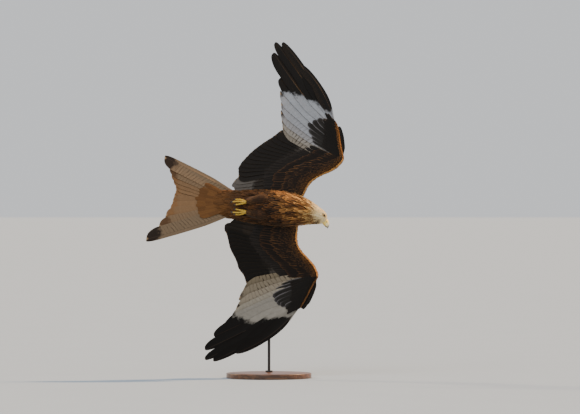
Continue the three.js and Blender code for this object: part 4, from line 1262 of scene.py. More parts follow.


# The bird's colours by row and angle, the same for the skin and the coat, with the lance's
# strength: rust on the belly, darker than the bird's own as painted shade, gold and black streaks on
# the breast and neck, their gold partly painted sunlight, ochre behind the legs, brown on the back
# and pale on the head, with a gold tinge on the crown that is partly painted sunlight.
def bodyTint(row, angle, luck):
    a = np.radians(angle)
    under = smoothstep(-np.sin(a), -0.25, 0.5)
    streak = streakAt(row, angle)[..., None]
    breast = smoothstep(row + 0.9 * np.cos(a), 4.6, 7.2)[..., None]
    # The belly's ground is darker than a kite's rufous, as painted shade, and the breast's is paler, partly
    # as painted sunlight.
    light = lerp(blend("#472c16", "#6b4421", luck), blend("#b87a3c", "#dba058", luck), breast)
    dark = lerp(blend("#24160c", "#352112", luck), blend("#573719", "#7d5127", luck), breast)
    rust = lerp(light, dark, streak)
    ochre = blend("#55371a", "#694521", luck)
    rear = (1 - smoothstep(row, 1.6, 3.6))[..., None]
    belly = lerp(rust, ochre, rear)
    rump = blend("#7f4a24", "#985a2a", luck)
    brown = lerp(blend("#6b4522", "#8a5c30", luck), blend("#3d2716", "#55371e", luck), streak)
    above = lerp(brown, rump, (1 - smoothstep(row, 1.2, 2.4))[..., None])
    tint = lerp(above, belly, under[..., None])
    lance = lerp(0.9, 0.2 + 0.75 * smoothstep(row, 2.2, 4.4), under)
    neck = smoothstep(row + 0.6 * np.cos(a), 6.8, 8.4)[..., None]
    # The neck's gold is partly painted sunlight.
    gold = lerp(blend("#e2a755", "#fbd28b", luck), blend("#7d5228", "#a87439", luck), streak)
    tint = lerp(tint, gold, neck)
    pale = smoothstep(row + 0.7 * np.cos(a), 8.2, 9.8)
    chin = smoothstep(-np.cos(a), -0.1, 0.7) * (1 - smoothstep(row, 10.6, 12.2))
    # The crown's gold tinge is partly painted sunlight.
    crown = lerp(blend("#f9dfa4", "#fff0c8", luck), blend("#d9bd85", "#ecd5a2", luck), streak * 0.7)
    throat = lerp(blend("#c2a676", "#dcc292", luck), blend("#453520", "#665135", luck), streak)
    tint = lerp(tint, lerp(crown, throat, chin[..., None]), pale[..., None])
    lance = lerp(lance, lerp(0.4 - 0.2 * smoothstep(row, 10.0, 12.0), 0.85, chin), pale)
    return tint, lance


# How long the body is from one row to the next, at a row.
def rowLength(row):
    after, before = (bodyFrame(np.clip(row + step, 0, lastRow))[0] for step in (0.05, -0.05))
    return np.maximum(np.linalg.norm(after - before, axis=-1) / 0.1, 3)


# Roots in rings round the body, every other ring set half a step over.
def coatRoots(fromRow, toRow, angleFrom, angleTo, stepLong):
    rows, angles = [], []
    row, ring, turn = fromRow, 0, angleTo - angleFrom
    while row < toRow:
        here = np.float64(row)
        long, wide = coatAt(here)
        halfWide, halfDeep = bodyFrame(here)[4:]
        around = math.pi * (halfWide + halfDeep) * turn / 360
        count = max(int(around / (wide * coat["stepRound"])), 3)
        share = (np.arange(count) + (0.5 if ring % 2 else 0)) / count
        angles.append(lerp(angleFrom, angleTo, share) + chance.normal(0, 0.22, count) * turn / count)
        rows.append(row + chance.normal(0, 0.2, count) * long * stepLong / rowLength(here))
        row += float(long) * stepLong / rowLength(here)
        ring += 1
    return np.concatenate(rows), np.concatenate(angles)


def coatFeathers(name, kind, rows, angles, skin, material, shape):
    keep = (rows > 0.1) & (rows < lastRow - 0.02)
    rows, angles = rows[keep], angles[keep]
    n = len(rows)
    long, wide = coatAt(rows).T * chance.uniform(0.85, 1.15, n)
    depth = bodyCoatAt(rows)[:, 0]
    back = np.clip(rows - long / rowLength(rows), 0, lastRow)
    swirl = chance.normal(0, shape["swirl"], n)
    root = onBody(rows, angles, -depth - 0.4)
    normal = bodyNormal(np.clip(rows, 0.05, lastRow - 0.05), angles)
    end = onBody(back, angles + swirl, shape["lift"] * depth)
    mid = 2 * onBody((rows + back) / 2, angles + swirl / 2, -depth * 0.35) - (root + end) / 2
    # keep what grows from open skin, not from inside a wing or a thigh, and not over an eye
    tree, eyes = skin
    fine = np.ones(n, bool)
    for i in range(n):
        spot = Vector(toModel(onBody(rows[i], angles[i], -depth[i])))
        near, facing, _, gap = tree.find_nearest(spot)
        inside = (spot - near).dot(facing) < 0
        fine[i] = not (inside and gap > coat["deep"])
        for eye, radius in eyes:
            for point in (root[i], (root[i] + end[i]) / 2, end[i]):
                if np.linalg.norm(point - eye) < radius:
                    fine[i] = False
    kept = (x[fine] for x in (rows, angles, wide, root, mid, end, normal))
    rows, angles, wide, root, mid, end, normal = kept
    n = len(rows)
    luck = chance.uniform(0, 1, n)
    tint, lance = bodyTint(rows, angles, luck)
    tint = tint * chance.uniform(0.88, 1.1, n)[:, None]
    lance = lance * chance.uniform(0.8, 1.0, n)
    layer = np.concatenate([tint, lance[:, None]], 1)
    fringe = np.concatenate([np.minimum(tint * 1.4, 0.95), np.full((n, 1), 0.5)], 1)
    f = {
        "root": root, "mid": mid, "end": end, "normal": normal, "lead": wide, "trail": wide,
        "roundFrom": shape["roundFrom"], "camber": shape["camber"], "web": shape["web"],
        "tip": 0.05, "base": 0.4, "ragged": 0.14, "sweep": 0.5,
    }
    patches = np.stack([np.mod(angles, 360) / 360, rows / lastRow], 1)
    return featherMesh(name, kind, f, coatLayers(layer, fringe), bakePatches(patches), material)


# Trousers: loose feathers from the thigh down over the shank, to where the toes come out

trousers = {
    "line": [
        [36, -34, 27], [14, -37.5, 26], [-8, -40, 24.5], [-27, -45, 21.5], [-40, -49, 19.5], [-52, -50, 18],
    ],
    "radii": [7, 17.5, 19.5, 16, 11, 6.6],
    "stepLong": 6.2, "stepWide": 5.6, "long": (32, 9), "wide": (4.4, 2.6),
}


def trouserFeathers(side, skinTree, material):
    line = byLength(trousers["line"])
    reach = float(sum(np.linalg.norm(np.diff(np.array(trousers["line"]), axis=0), axis=1)))
    knots = np.linspace(0, 1, 121)
    spots = line(knots)
    heading = unit(np.gradient(spots, axis=0))

    def frameAt(share):
        share = np.asarray(share, float)
        inner = np.clip(share, 0, 1)
        middle = readBetween(inner, knots, spots)
        along = unit(readBetween(inner, knots, heading))
        middle = middle + along * (share - inner)[..., None] * reach
        across = unit(np.cross([0.0, 0, 1], along))
        radius = np.interp(inner, np.linspace(0, 1, len(trousers["radii"])), trousers["radii"])
        return middle, along, across, np.cross(along, across), radius

    def onLeg(share, angle, height):
        middle, _, across, up, radius = frameAt(share)
        a = np.asarray(angle)[..., None]
        return middle + (np.cos(a) * across + np.sin(a) * up) * (radius + height)[..., None]

    shares, angles = [], []
    count = int(reach / trousers["stepLong"])
    for k in range(count):
        share = k / count
        around = int(2 * math.pi * frameAt(share)[4] / trousers["stepWide"])
        turn = (np.arange(around) + 0.5 * (k % 2)) / around * 2 * math.pi
        angles.append(turn + chance.normal(0, 0.05, around))
        shares.append(np.full(around, share) + chance.normal(0, 0.008, around))
    share, angle = np.concatenate(shares), np.concatenate(angles)
    n = len(share)
    flip = flipFor(side)
    long = lerp(*trousers["long"], smoothstep(share, 0.3, 1)) * chance.uniform(0.85, 1.15, n)
    wide = lerp(*trousers["wide"], share) * chance.uniform(0.85, 1.1, n)
    root = onLeg(share, angle, np.full(n, -2.0))
    end = onLeg(share + long / reach, angle + chance.normal(0, 0.06, n), np.full(n, 1.0))
    mid = 2 * onLeg(share + long / reach / 2, angle, np.full(n, 1.2)) - (root + end) / 2
    normal = unit(onLeg(share, angle, np.full(n, 5.0)) - onLeg(share, angle, np.full(n, 0.0)))
    keep = np.ones(n, bool)
    for i in range(n):
        spot = Vector(toModel(root[i] * flip))
        near, facing, _, gap = skinTree.find_nearest(spot)
        keep[i] = not ((spot - near).dot(facing) < 0 and gap > 0.0035)
    luck = chance.uniform(0, 1, n)
    down = smoothstep(share, 0.35, 0.9)[:, None]
    tint = lerp(blend("#33200f", "#4d3018", luck), blend("#48301a", "#5f4122", luck), down)
    layer = np.concatenate([tint, np.full((n, 1), 0.6)], 1)[keep]
    fringe = np.concatenate([tint * 1.5, np.full((n, 1), 0.5)], 1)[keep]
    f = {
        "root": root[keep], "mid": mid[keep], "end": end[keep], "normal": normal[keep],
        "lead": wide[keep], "trail": wide[keep], "roundFrom": 0.45, "tip": 0.05, "base": 0.4,
        "camber": 0.2, "web": 0.35, "ragged": 0.1, "sweep": 0.5,
    }
    patches = np.stack([0.1 + 0.7 * share, angle / 2 / math.pi], 1)[keep]
    return featherMesh(
        f"trousers_{side}", "contour", f, coatLayers(layer, fringe), bakePatches(patches), material,
        mirror=side == "left",
    )


# The skin: body, wings and thighs as tubes of sections, fused so that no seam shows

thigh = {"place": np.array([-12, -38, 25]), "along": [-50, -4, -6], "high": [0, 22, 0], "wide": [0, 0, 20]}


def bodyTube():
    rings = []
    a = np.linspace(0, 360, 30, endpoint=False)
    for row in np.concatenate([np.linspace(0, 9, 30), np.linspace(9.2, 12.9, 18)]):
        at = np.full(30, row)
        rings.append(onBody(at, a, -bodyCoatAt(at)[:, 0]))
    middle = rings[-1].mean(axis=0)
    rings.append(lerp(middle, rings[-1], 0.5) + np.array([0.5, 0, -0.5]))
    return tubeOf("body_tube", rings)


def wingTube(side, wing):
    chord = np.array([0.0, 0.03, 0.08, 0.17, 0.3, 0.48, 0.66, 0.84, 0.96])
    rings = []
    for row in np.linspace(0, fingertip - 1, 40):
        at = np.full(len(chord), row)
        sunk = -wingShape["coatDepth"] * smoothstep(chord, 0, 0.1)
        upper, lower = (onWing(wing, at, lerp(0.04, 1.0, chord), face, sunk) for face in (1, -1))
        ring = np.concatenate([upper, lower[::-1]])
        rings.append(ring * flipFor(side))
    return tubeOf(f"wing_tube_{side}", rings)


def thighTube(side):
    rings = []
    for t in np.linspace(-0.96, 0.96, 12):
        r = math.sqrt(1 - t * t)
        middle = thigh["place"] + np.array(thigh["along"]) * t
        ring = ovalRing(middle, np.array(thigh["high"]) * r * 0.85, np.array(thigh["wide"]) * r * 0.85, 16)
        rings.append(ring * flipFor(side))
    return tubeOf(f"thigh_tube_{side}", rings)


fused = {"voxel": 0.0026, "smoothing": 6, "armColour": "#2e1c11"}


def makeSkin(wings):
    sides = ("right", "left")
    tubes = [bodyTube()]
    tubes += [wingTube(side, wings[side]) for side in sides] + [thighTube(side) for side in sides]
    skin = joined("skin", tubes)
    applyModifier(skin, "REMESH", mode="VOXEL", voxel_size=fused["voxel"], adaptivity=0.0)
    applyModifier(skin, "SMOOTH", factor=0.5, iterations=fused["smoothing"])
    count = len(skin.data.vertices)
    spots = np.empty(count * 3)
    skin.data.vertices.foreach_get("co", spots)
    spots = spots.reshape(-1, 3) * 1000 - birdPlace
    # colour by the nearest row and angle of the body, or dark brown along the wings
    rows = np.interp(spots[:, 0], [r[0] for r in body["rows"]], np.arange(len(body["rows"])))
    middle, _, crown, across, wide, deep = bodyFrame(rows)
    off = spots - middle
    angle = np.degrees(np.arctan2(np.sum(off * across, axis=1), np.sum(off * crown, axis=1)))
    tint, _ = bodyTint(rows, angle, np.full(count, 0.5))
    onWingNow = np.linalg.norm(off, axis=1) > 1.25 * np.maximum(wide, deep)
    tint[onWingNow] = hexColour(fused["armColour"])
    attribute = skin.data.color_attributes.new(name="tint", type="FLOAT_COLOR", domain="POINT")
    opaque = np.concatenate([tint, np.ones((count, 1))], 1)
    attribute.data.foreach_set("color", opaque.astype(np.float32).ravel())
    print("skin:", len(skin.data.polygons) * 2, "triangles")
    return finished(skin, skinMaterial(), 60)


# Head: eyes, lids, cere and bill

head = {
    "eyeRadius": 7.7,
    "eyePlace": np.array([217.8, 1, -31.4]),
    "eyeOut": 9.9,
    "billBase": np.array([222, 1, -50.5]),
    "billAlong": np.array([0.682, 0, -0.731]),
    "billUp": np.array([0.731, 0, 0.682]),
    # along, top, bottom and half width
    "cere": [[-2.5, 11.4, -6.4, 9.4], [0.3, 11.6, -6.6, 9.6], [4, 11.2, -7, 9], [9.1, 9.6, -7.5, 8]],
    "upper": [
        [8.6, 9.2, -7.3, 7.5], [9.3, 9.5, -7.5, 7.8], [13, 7.6, -7.9, 7], [17, 4.6, -8.3, 5.9],
        [20.5, 1, -9, 4.4], [23, -2.8, -9.8, 3], [25, -7, -11, 1.8], [25.6, -12, -13.6, 0.6],
    ],
    "lower": [
        [-2, -6.4, -12, 8.1], [0.3, -6.5, -12.2, 8.4], [8, -7.1, -12.3, 6.7], [15, -7.7, -11.8, 4.6],
        [20.3, -8.5, -10.9, 2.0],
    ],
    # along, up and out, and its three radii
    "nostril": (5.6, 3.0, 8.7), "nostrilSize": (2.3, 1.15, 1.7),
    # the corner of the mouth as [along, up], which runs back under the eye
    "gape": [[9, -7.7], [3, -7.2], [-3, -7.0], [-9, -6.4], [-13, -5.4]],
}
backWay = np.array([0.0, 1, 0])


def eyeCentre(side):
    return head["eyePlace"] + backWay * side * head["eyeOut"]


def eyeFacing(side):
    return unit(np.array([0.3, side, 0.22]))


def billAt(along, up, out=0.0):
    return head["billBase"] + head["billAlong"] * along + head["billUp"] * up + backWay * out


# Bill sections: a keeled top and flatter sides, and square where the two halves of the bill meet.
def billRings(rows, steps, keel, meets, sides=28):
    at = smoothTable(rows)
    rings = []
    for t in np.linspace(0, len(rows) - 1, steps):
        along, top, bottom, half = at(t)
        a = np.linspace(0, 2 * math.pi, sides, endpoint=False)
        up, out = np.cos(a), np.sin(a)
        square = np.where(up * meets > 0, 0.45, 1.0)
        up, out = np.sign(up) * np.abs(up) ** square, np.sign(out) * np.abs(out) ** square
        pinch = 1 - keel * np.clip(up, 0, 1) ** 2
        middle = billAt(along, (top + bottom) / 2)
        rise = head["billUp"] * (up * (top - bottom) / 2)[:, None]
        rings.append(middle + rise + backWay * (out * half * pinch)[:, None])
    return rings


def hornMaterial(name, baseColour, tipColour, fromAlong, toAlong, roughness=0.28):
    material, tree, shader = newMaterial(name, Roughness=roughness, IOR=1.55)
    shader.inputs["Coat Weight"].default_value = 0.3
    shader.inputs["Coat Roughness"].default_value = 0.2
    spots = addNode(tree, "TexCoord").outputs["Object"]
    start = toModel(billAt(0, 0))
    # distance along the bill from its base, in metres
    shift = addNode(tree, "VectorMath", {
        "operation": "SUBTRACT", 0: spots, 1: tuple(start),
    })
    along = addNode(tree, "VectorMath", {
        "operation": "DOT_PRODUCT", 0: shift, 1: tuple(head["billAlong"]),
    })
    cloud = addNode(tree, "TexNoise", {"Scale": 260.0, "Detail": 4.0, "Vector": spots})
    moved = addNode(tree, "Math", {"operation": "MULTIPLY_ADD", 0: cloud, 1: 0.008, 2: -0.004})
    reach = addNode(tree, "Math", {"operation": "ADD", 0: along.outputs["Value"], 1: moved})
    share = addNode(tree, "MapRange", {
        "interpolation_type": "SMOOTHSTEP", "Value": reach,
        "From Min": fromAlong / 1000, "From Max": toAlong / 1000,
    })
    mixed = addNode(tree, "Mix", {"data_type": "RGBA", 0: share, 6: rgba(baseColour), 7: rgba(tipColour)})
    tree.links.new(mixed.outputs[2], shader.inputs["Base Color"])
    growth = addNode(tree, "TexNoise", {"Scale": 900.0, "Detail": 2.0, "Vector": spots})
    bump = addNode(tree, "Bump", {"Strength": 0.12, "Distance": 0.0002, "Height": growth})
    tree.links.new(bump.outputs[0], shader.inputs["Normal"])
    return material


# Bare waxy skin of cere, lids and feet, with small scales about a millimetre across.
def waxySkin(name, colour, deep, scale, bumpSize):
    material, tree, shader = newMaterial(name, Roughness=0.42, IOR=1.45)
    spots = addNode(tree, "TexCoord").outputs["Object"]
    cells = addNode(tree, "TexVoronoi", {
        "feature": "DISTANCE_TO_EDGE", "Scale": scale, "Vector": spots,
    })
    seam = addNode(tree, "MapRange", {
        "From Min": 0.0, "From Max": 0.16, "Value": cells.outputs["Distance"],
    })
    cloud = addNode(tree, "TexNoise", {"Scale": 160.0, "Detail": 3.0, "Vector": spots})
    stain = addNode(tree, "MapRange", {"From Min": 0.35, "From Max": 0.7, "To Max": 0.45, "Value": cloud})
    worn = addNode(tree, "Mix", {"data_type": "RGBA", 0: stain, 6: rgba(colour), 7: rgba(deep)})
    lined = addNode(tree, "Mix", {"data_type": "RGBA", 0: seam, 6: rgba(deep), 7: worn.outputs[2]})
    tree.links.new(lined.outputs[2], shader.inputs["Base Color"])
    bump = addNode(tree, "Bump", {"Strength": 0.6, "Distance": bumpSize, "Height": seam})
    tree.links.new(bump.outputs[0], shader.inputs["Normal"])
    return material


# Eyes: an amber iris with fine spokes round a black pupil, under a clear wet cornea. The iris is a
# deeper amber and the pupil larger than a kite's, painted shade from the brow that makes the eye look
# dark. The sphere's own map runs from pole to pole, and the pole looks out of the head.
def eyeMaterial():
    material, tree, shader = newMaterial("wet eye", Roughness=0.12, IOR=1.38)
    shader.inputs["Coat Weight"].default_value = 1.0
    shader.inputs["Coat Roughness"].default_value = 0.02
    place = addNode(tree, "UVMap", {"uv_map": "UVMap"})
    split = addNode(tree, "SeparateXYZ", {0: place})
    spokes = addNode(tree, "CombineXYZ", {"Y": 0.0, "X": split})
    streaks = addNode(tree, "TexNoise", {"Scale": 60.0, "Detail": 2.0, "Vector": spokes})
    iris = addNode(tree, "Mix", {"data_type": "RGBA", 0: streaks, 6: rgba("#8a5a1c"), 7: rgba("#d9a441")})
    inRim = addNode(tree, "MapRange", {"From Min": 0.73, "From Max": 0.76, "Value": split.outputs[1]})
    withRim = addNode(tree, "Mix", {
        "data_type": "RGBA", 0: inRim, 6: rgba("#1c130c"), 7: iris.outputs[2],
    })
    # A wide pupil, partly painted shade from the brow.
    inPupil = addNode(tree, "MapRange", {"From Min": 0.855, "From Max": 0.865, "Value": split.outputs[1]})
    eye = addNode(tree, "Mix", {
        "data_type": "RGBA", 0: inPupil, 6: withRim.outputs[2], 7: rgba("#050404"),
    })
    tree.links.new(eye.outputs[2], shader.inputs["Base Color"])
    return material


def makeEye(side, material):
    name = "right" if side < 0 else "left"
    deselectAll()
    facing = Vector(eyeFacing(side))
    turn = facing.to_track_quat("Z", "Y").to_euler()
    bpy.ops.mesh.primitive_uv_sphere_add(
        segments=48, ring_count=32, radius=head["eyeRadius"] / 1000,
        location=toModel(eyeCentre(side)), rotation=turn,
    )
    eye = bpy.context.object
    eye.name = f"eyeball_{name}"
    # the cornea stands a little proud of the ball
    bpy.ops.object.mode_set(mode="EDIT")
    bpy.ops.mesh.select_all(action="DESELECT")
    mesh = bmesh.from_edit_mesh(eye.data)
    for v in mesh.verts:
        v.select = v.co.z > head["eyeRadius"] / 1000 * 0.8
    mesh.select_flush(True)
    bmesh.update_edit_mesh(eye.data)
    bpy.ops.transform.translate(value=facing * 0.00035)
    bpy.ops.object.mode_set(mode="OBJECT")
    putAtOrigin(eye)
    eye.data.materials.append(material)
    bpy.ops.object.shade_smooth()
    return eye


# Lids: a ring whose inner edge lies on the ball, with a rounded rim, that runs out over the face to
# under the feathers. Its profile goes from the outer edge over the top to the opening and back.
lids = {
    "open": 4.9, "outer": 9.0,
    # how far out from the opening, and how far down from the crest to the face
    "rims": [(1.0, 1.0), (0.62, 0.72), (0.4, 0.42), (0.2, 0.0), (0.07, -0.05), (0.0, 0.75)],
}


def makeLids(side, material, skinTree):
    name = "right" if side < 0 else "left"
    deselectAll()
    bpy.ops.mesh.primitive_torus_add(major_radius=1.0, minor_radius=0.2, major_segments=56, minor_segments=10)
    piece = bpy.context.object
    piece.name = f"lids_{name}"
    centre, facing = eyeCentre(side), eyeFacing(side)
    up = unit(head["billUp"] - facing * (head["billUp"] @ facing))
    aside = np.cross(facing, up)

    def faceHigh(spot):
        start = Vector(toModel(spot + facing * 25))
        hit = skinTree.ray_cast(start, Vector(-facing))[0]
        return float((np.array(hit) * 1000 - birdPlace - spot) @ facing) if hit else 0.0

    bpy.ops.object.mode_set(mode="EDIT")
    mesh = bmesh.from_edit_mesh(piece.data)
    for v in mesh.verts:
        turn = math.atan2(v.co.y, v.co.x)
        k = round(math.degrees(math.atan2(v.co.z, math.hypot(v.co.x, v.co.y) - 1)) / 36) % 10
        above = math.cos(turn)
        way = up * above + aside * math.sin(turn)
        # the brow comes down over the ball, and the corners are a little wider
        opening = lids["open"] - 1.3 * max(above, 0) ** 1.3 - 0.3 * max(-above, 0) ** 2
        opening += 0.35 * math.sin(turn) ** 4
        ball = math.sqrt((head["eyeRadius"] + 0.25) ** 2 - opening**2)
        crest = ball + 0.8 + 1.3 * max(above, 0)
        face = faceHigh(centre + way * lids["outer"])
        if k <= 5:
            outwards, sink = lids["rims"][k]
            radius = lerp(opening, lids["outer"], outwards)
            high = lerp(crest, face - 0.3, sink) if k < 5 else ball
            if 0 < k < 4:
                high = max(high, faceHigh(centre + way * radius) + 0.35)
        else:
            share = (k - 5) / 5
            radius = lerp(opening + 0.4, lids["outer"] - 0.3, share)
            high = lerp(ball - 1.4, face - 2.0, share)
        v.co = toModel(centre + way * radius + facing * high)
    bmesh.update_edit_mesh(piece.data)
    bpy.ops.mesh.select_all(action="SELECT")
    bpy.ops.mesh.normals_make_consistent(inside=False)
    bpy.ops.object.mode_set(mode="OBJECT")
    putAtOrigin(piece)
    piece.data.materials.append(material)
    bpy.ops.object.shade_smooth()
    return piece


# Nostrils: slanting ovals sunk into both sides of the cere, dark inside with painted shade.
def cutNostrils(cere, recessShade):
    for side in (-1, 1):
        along, up, out = head["nostril"]
        lie = Matrix([head["billAlong"], head["billUp"], backWay]).transposed().to_euler()
        bpy.ops.mesh.primitive_uv_sphere_add(
            segments=24, ring_count=14, radius=0.001, location=toModel(billAt(along, up, side * out)),
            rotation=lie, scale=head["nostrilSize"],
        )
        cutter = bpy.context.object
        cutter.data.materials.append(recessShade)
        applyModifier(
            cere, "BOOLEAN", object=cutter, operation="DIFFERENCE", solver="EXACT", material_mode="TRANSFER"
        )
        bpy.data.objects.remove(cutter)
    return cere


# The soft yellow edge of the mouth, which shows as a line from the bill to under the eye.
def makeGape(side, material, skinTree):
    spots, name = [], "right" if side < 0 else "left"
    for along, up in head["gape"]:
        spot = billAt(along, up, side * 60)
        hit = skinTree.ray_cast(Vector(toModel(spot)), Vector((0, -side, 0)))[0]
        # on the face the line lies on the skin, and further out on the side of the bill
        if hit and along < 0:
            out = float(hit[1]) * 1000 - birdPlace[1] - head["billBase"][1]
        else:
            out = side * np.interp(along, [0, 9], [9.3, 7.6])
        spots.append(billAt(along, up, out))
    piece = tubeOf(f"gape_{name}", limbRings(np.array(spots), [0.55, 0.8, 1.0, 0.9, 0.5], 10, 24))
    return finished(piece, material, 60)


# Legs and feet

foot = {
    "tarsus": [[-20, -50, 21.5], [-32, -53, 20], [-45, -51.5, 18.5], [-58, -48.5, 17.5]],
    "tarsusRadii": [4.0, 4.2, 4.2, 4.8],
    "toes": {
        "inner": ([[-57, -49, 14], [-74, -52, 11], [-91, -48, 8]], [-102, -37, 6.5]),
        "middle": ([[-58, -49, 17.5], [-80, -53, 19.5], [-102, -49, 18.5]], [-112, -36, 13.5]),
        "outer": ([[-57, -48.5, 20.5], [-75, -48, 26], [-92, -43, 26.5]], [-102, -32, 22.5]),
        "hind": ([[-56, -47, 16.5], [-65, -42, 16.5], [-73, -39.5, 14.5]], [-83, -33, 11]),
    },
    "toeRadii": [3.6, 2.8, 3.3, 2.4, 3.0, 2.2, 2.7, 2.2],
    "clawRadii": [2.2, 2.0, 1.5, 1.0, 0.35],
    "pad": [[-51, -49.5, 18.5], [-57, -50, 17.5], [-64, -50, 17.2]],
    "padRadii": [4.4, 5.6, 5.4, 3.2],
    "scutePitch": 3.2,
}


# Rings that stand out a little every few millimetres are the horny scutes along a toe.
def scutedRings(points, radii, sides, steps):
    rings = limbRings(points, radii, sides, steps)
    middles = np.array([ring.mean(axis=0) for ring in rings])
    run = runAlong(middles)
    for k, (ring, middle) in enumerate(zip(rings, middles)):
        swell = 1 + 0.07 * abs(math.sin(math.pi * run[k] / foot["scutePitch"]))
        rings[k] = middle + (ring - middle) * swell
    return rings


def makeFoot(side, material):
    tubes = []
    parts = [(foot["tarsus"], foot["tarsusRadii"])]
    parts += [(points, foot["toeRadii"]) for points, _ in foot["toes"].values()]
    parts.append((foot["pad"], foot["padRadii"]))
    for k, (points, radii) in enumerate(parts):
        rings = [ring * flipFor(side) for ring in scutedRings(points, radii, 14, 34)]
        tubes.append(tubeOf(f"toe_{k}", rings))
    made = joined(f"toes_{side}", tubes)
    return finished(made, material, 50)


def makeClaw(side, name, material):
    points, tip = foot["toes"][name]
    points, tip = np.array(points, float), np.array(tip, float)
    line = byLength(points)
    along = unit(line(1.0) - line(0.98))
    start = line(1.0) - along * 1.2
    knee = start + along * 8.2
    t = np.linspace(0, 1, 9)[:, None]
    hook = (1 - t) ** 2 * start + 2 * t * (1 - t) * knee + t**2 * tip
    rings = [ring * flipFor(side) for ring in limbRings(hook, foot["clawRadii"], 12, 12, flatten=1.15)]
    claw = tubeOf(f"talon_{side}_{name}", rings)
    return finished(claw, material, 50)


# The stand

stand = {
    "radius": 150, "thick": 18, "grooveIn": 9, "grooveWide": 2.2, "grooveDeep": 1.4, "edge": 2.2,
    "rodRadius": 5, "rodBack": 60, "rodBend": 40, "rodTop": 602, "rodEnd": 10,
    "collarRadius": 13, "collarThick": 6, "collarEdge": 1.2,
}
softEdge = {"limit_method": "ANGLE", "angle_limit": math.radians(50)}


# Walnut, turned and oiled: grain lines a few millimetres apart run along X, with darker pores.
def walnutMaterial():
    material, tree, shader = newMaterial("oiled walnut", Roughness=0.38, IOR=1.5)
    shader.inputs["Coat Weight"].default_value = 0.15
    shader.inputs["Coat Roughness"].default_value = 0.3
    spots = addNode(tree, "TexCoord").outputs["Object"]
    stretch = addNode(tree, "Mapping", {
        "Scale": (2.2, 26.0, 26.0), "Rotation": (0.0, 0.06, 0.1), "Vector": spots,
    })
    rings = addNode(tree, "TexNoise", {
        "Scale": 3.0, "Detail": 5.0, "Roughness": 0.55, "Distortion": 0.6, "Vector": stretch,
    })
    lines = addNode(tree, "Math", {"operation": "MULTIPLY", 0: rings, 1: 26.0})
    wave = addNode(tree, "Math", {"operation": "SINE", 0: lines})
    grain = addNode(tree, "MapRange", {"From Min": -1.0, "From Max": 1.0, "Value": wave})
    wood = addNode(tree, "Mix", {"data_type": "RGBA", 0: grain, 6: rgba("#6d4a31"), 7: rgba("#3d2618")})
    narrow = addNode(tree, "Mapping", {"Scale": (40.0, 900.0, 900.0), "Vector": spots})
    pores = addNode(tree, "TexNoise", {"Scale": 1.0, "Detail": 2.0, "Vector": narrow})
    pore = addNode(tree, "MapRange", {"From Min": 0.56, "From Max": 0.66, "To Max": 0.7, "Value": pores})
    pored = addNode(tree, "Mix", {"data_type": "RGBA", 0: pore, 6: wood.outputs[2], 7: rgba("#22140c")})
    tree.links.new(pored.outputs[2], shader.inputs["Base Color"])
    bump = addNode(tree, "Bump", {"Strength": 0.15, "Distance": 0.0002, "Height": pores})
    tree.links.new(bump.outputs[0], shader.inputs["Normal"])
    return material


# Steel under satin black paint, with the slight orange peel of a sprayed coat.
def paintedSteel():
    material, tree, shader = newMaterial("satin black paint", Roughness=0.4, IOR=1.5)
    shader.inputs["Base Color"].default_value = rgba("#1d1d1f")
    spots = addNode(tree, "TexCoord").outputs["Object"]
    peel = addNode(tree, "TexNoise", {"Scale": 500.0, "Detail": 2.0, "Vector": spots})
    rough = addNode(tree, "MapRange", {"To Min": 0.34, "To Max": 0.5, "Value": peel})
    tree.links.new(rough.outputs[0], shader.inputs["Roughness"])
    bump = addNode(tree, "Bump", {"Strength": 0.08, "Distance": 0.0002, "Height": peel})
    tree.links.new(bump.outputs[0], shader.inputs["Normal"])
    return material


def makeBase(material):
    deselectAll()
    bpy.ops.mesh.primitive_cylinder_add(
        vertices=96, radius=stand["radius"] / 1000, depth=stand["thick"] / 1000,
        location=(0, 0, stand["thick"] / 2000),
    )
    base = bpy.context.object
    base.name = "base"
    # a shallow turned groove round the top, then soft edges
    bpy.ops.object.mode_set(mode="EDIT")
    bpy.ops.mesh.select_all(action="DESELECT")
    mesh = bmesh.from_edit_mesh(base.data)
    for face in mesh.faces:
        face.select = face.normal.z > 0.9
    bmesh.update_edit_mesh(base.data)
    bpy.ops.mesh.inset(thickness=stand["grooveIn"] / 1000, depth=0.0)
    for way in (-1, 1):
        bpy.ops.mesh.inset(thickness=stand["grooveWide"] / 1000, depth=way * stand["grooveDeep"] / 1000)
    bpy.ops.mesh.inset(thickness=0.05, depth=0.0)
    bpy.ops.object.mode_set(mode="OBJECT")
    applyModifier(base, "BEVEL", width=stand["edge"] / 1000, segments=4, **softEdge)
    putAtOrigin(base)
    return finished(base, material, 35)


